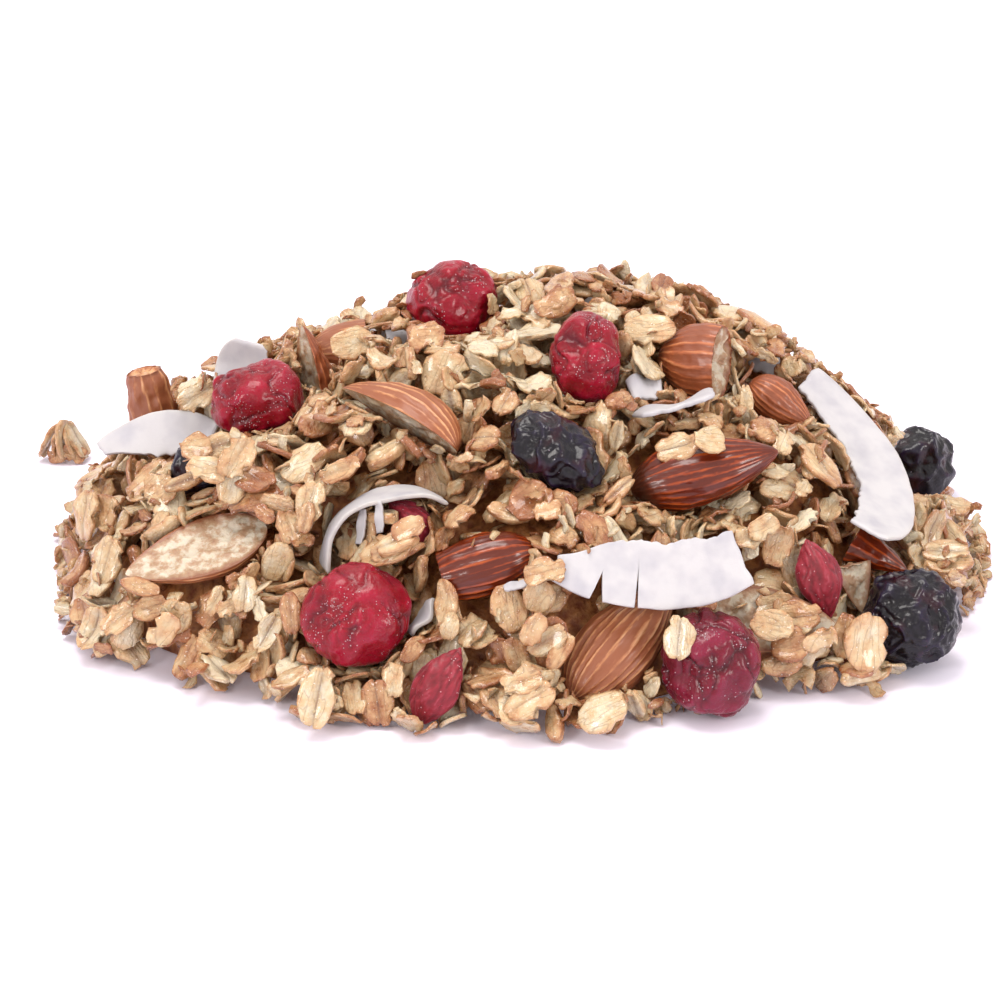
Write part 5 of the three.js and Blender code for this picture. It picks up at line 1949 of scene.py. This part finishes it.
@dataclass
class StrayCluster:
    """A few flakes and shards stuck together in a wedge, apart from the heap on its left."""

    node: str = "stray_cluster"
    flakes: int = 5
    shards: int = 2
    seed: int = 17

    def build(self) -> bpy.types.Object:
        """Builds the cluster in its node's box."""
        rng = np.random.default_rng(self.seed)
        maker = FlakeMaker(rng)
        low, high = (np.array(corner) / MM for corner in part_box(self.node))
        middle = (low + high) / 2
        skins = []
        for number in range(self.flakes):
            share = number / (self.flakes - 1) - 0.5
            flake = maker.make(Cut.CURLED if number % 2 else Cut.FLAT).fine
            face = (0.9 + 0.3 * share, -0.4, 0.45 * share)
            turn = turned_to((-1.15 * share, 0.2, 1.0), face)
            foot = (5.0 * share, 1.6 * abs(share) - 0.8, -0.9 * abs(share))
            laid = flake.moved(turn, middle + foot, 0.9 - 0.25 * abs(share))
            laid.marks[:, 0] = rng.uniform(0.1, 0.5)
            skins.append(laid)
        for number in range(self.shards):
            flake = maker.make(Cut.SHARD).fine
            turn = turned_to((0.9, 0.1, 0.3 - 0.6 * number), (0.2, -0.9, 0.4))
            laid = flake.moved(turn, middle + (2.6 * number - 0.8, -1.6, -2.2), 1.0)
            laid.marks[:, 0] = 0.7
            skins.append(laid)
        whole = joined(skins)
        lift = low[2] - whole.points[:, 2].min()
        whole.points = whole.points + (0, 0, lift)
        LOG.info("stray cluster: %d triangles", len(whole.triangles))
        return whole.raised_to("stray_flakes", [OAT])


@dataclass
class CoconutScrap(CoconutChip):
    """A sliver of coconut too small to have a node, which lies on the flakes by a larger chip."""

    thickness: float = 0.45
    wave: float = 0.2
    rag: float = 0.12
    rind: float = 0.0
    pixel: tuple[int, int] = (0, 0)  # where its middle shows in the picture
    name: str = "coconut_scrap"

    def lie_on(self, pile: Pile) -> bpy.types.Object:
        """Lays the scrap on the pile and builds it."""
        turned = self.shape().moved(turned_to(self.along, self.face), np.zeros(3))
        middle = (turned.points.min(axis=0) + turned.points.max(axis=0)) / 2
        turned.points = turned.points - middle
        on_toppings = self.node != "coconut_curl"
        turned.points = turned.points + pile.settle(turned.points, self.pixel, on_toppings)
        return self.build(turned, self.name)


def scraps() -> list[CoconutScrap]:
    """The slivers of coconut: two inside the curl, and one on the flakes by the deep almond."""
    return [
        CoconutScrap(
            "coconut_curl", (0.12, 0.35, 0.93), (-0.6, -0.75, 0.3), seed=41, length=5.6, width=1.5,
            arc=30, curl=12, taper=0.2, phase=1.0, pixel=(361, 526), name="coconut_scrap_in_curl_left",
        ),
        CoconutScrap(
            "coconut_curl", (-0.05, 0.35, 0.93), (-0.5, -0.8, 0.3), seed=42, length=5.0, width=1.4,
            arc=30, curl=12, taper=0.2, phase=2.0, pixel=(381, 514), name="coconut_scrap_in_curl_right",
        ),
        CoconutScrap(
            "coconut_sliver", (0.95, 0.1, 0.2), (0, -0.5, 0.87), seed=43, length=3.6, width=1.5, arc=20,
            curl=20, taper=0.3, phase=3.0, pixel=(512, 590), name="coconut_scrap_front",
        ),
    ]


# ------------------------ studio


@dataclass
class Studio:
    """A white table and soft lights: one broad light overhead, and fill from the front and sides."""

    floor_size: float = 12.0
    floor_level: float = -0.05  # mm, just under the pieces that lie on it
    lights: tuple[tuple[str, Triple, float, float, str], ...] = (
        ("overhead", (-0.12, 0.06, 0.85), 0.4, 4.4, "#FFFBF6"),
        ("front_left", (-0.7, -0.9, 0.6), 0.3, 4.3, "#FFF9F4"),
        ("front_right", (0.8, -0.7, 0.5), 0.3, 3.8, "#FFFBF6"),
    )
    sky: str = "#FDF7F4"
    sky_strength: float = 1.14

    def build(self) -> None:
        """Builds the table, the lights and the pale surroundings."""
        mesh = bpy.data.meshes.new("table_top")
        half = self.floor_size / 2
        level = self.floor_level * MM
        corners = [(x * half, y * half, level) for x, y in ((-1, -1), (1, -1), (1, 1), (-1, 1))]
        mesh.from_pydata(corners, [], [(0, 1, 2, 3)])
        mesh.materials.append(TABLE.material())
        floor = bpy.data.objects.new("table_top", mesh)
        bpy.context.scene.collection.objects.link(floor)
        for name, place, size, power, colour in self.lights:
            data = bpy.data.lights.new(name, "AREA")
            data.size = size
            data.energy = power
            data.color = linear(colour)[:3]
            light = bpy.data.objects.new(name, data)
            light.location = place
            light.rotation_euler = Vector(place).to_track_quat("Z", "Y").to_euler()
            bpy.context.scene.collection.objects.link(light)
        world = bpy.data.worlds.new("surroundings")
        world.use_nodes = True
        background = world.node_tree.nodes["Background"]
        background.inputs["Color"].default_value = linear(self.sky)
        background.inputs["Strength"].default_value = self.sky_strength
        scene = bpy.context.scene
        scene.world = world
        scene.view_settings.view_transform = "Standard"
        scene.view_settings.look = "None"


# ------------------------ making


def main() -> None:
    """Builds the heap, its toppings and the studio, in order."""
    logging.basicConfig(level=logging.INFO, format="%(name)s: %(message)s")
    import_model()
    camera = PhotoCamera()
    camera.build()
    Studio().build()
    mound = Mound()
    pile = Pile(mound, camera)
    for topping in toppings():
        skin = topping.placed()
        pile.add_topping(skin, topping.margin(), topping.node in BURIED)
        topping.build(skin)
        LOG.info("%s: %d triangles", topping.node, len(skin.triangles))
    flakes = Flakes()
    flakes.pile_up(pile)
    for scrap in scraps():
        scrap.lie_on(pile)
    flakes.lay_heroes(pile)
    for piece in (mound.build(), *flakes.build(pile), Crumbs().build(pile)):
        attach(piece, BODY)
        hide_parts("granola_heap")
    stray = StrayCluster().build()
    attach(stray, BODY)
    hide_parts("stray_cluster")


if __name__ == "__main__":
    main()
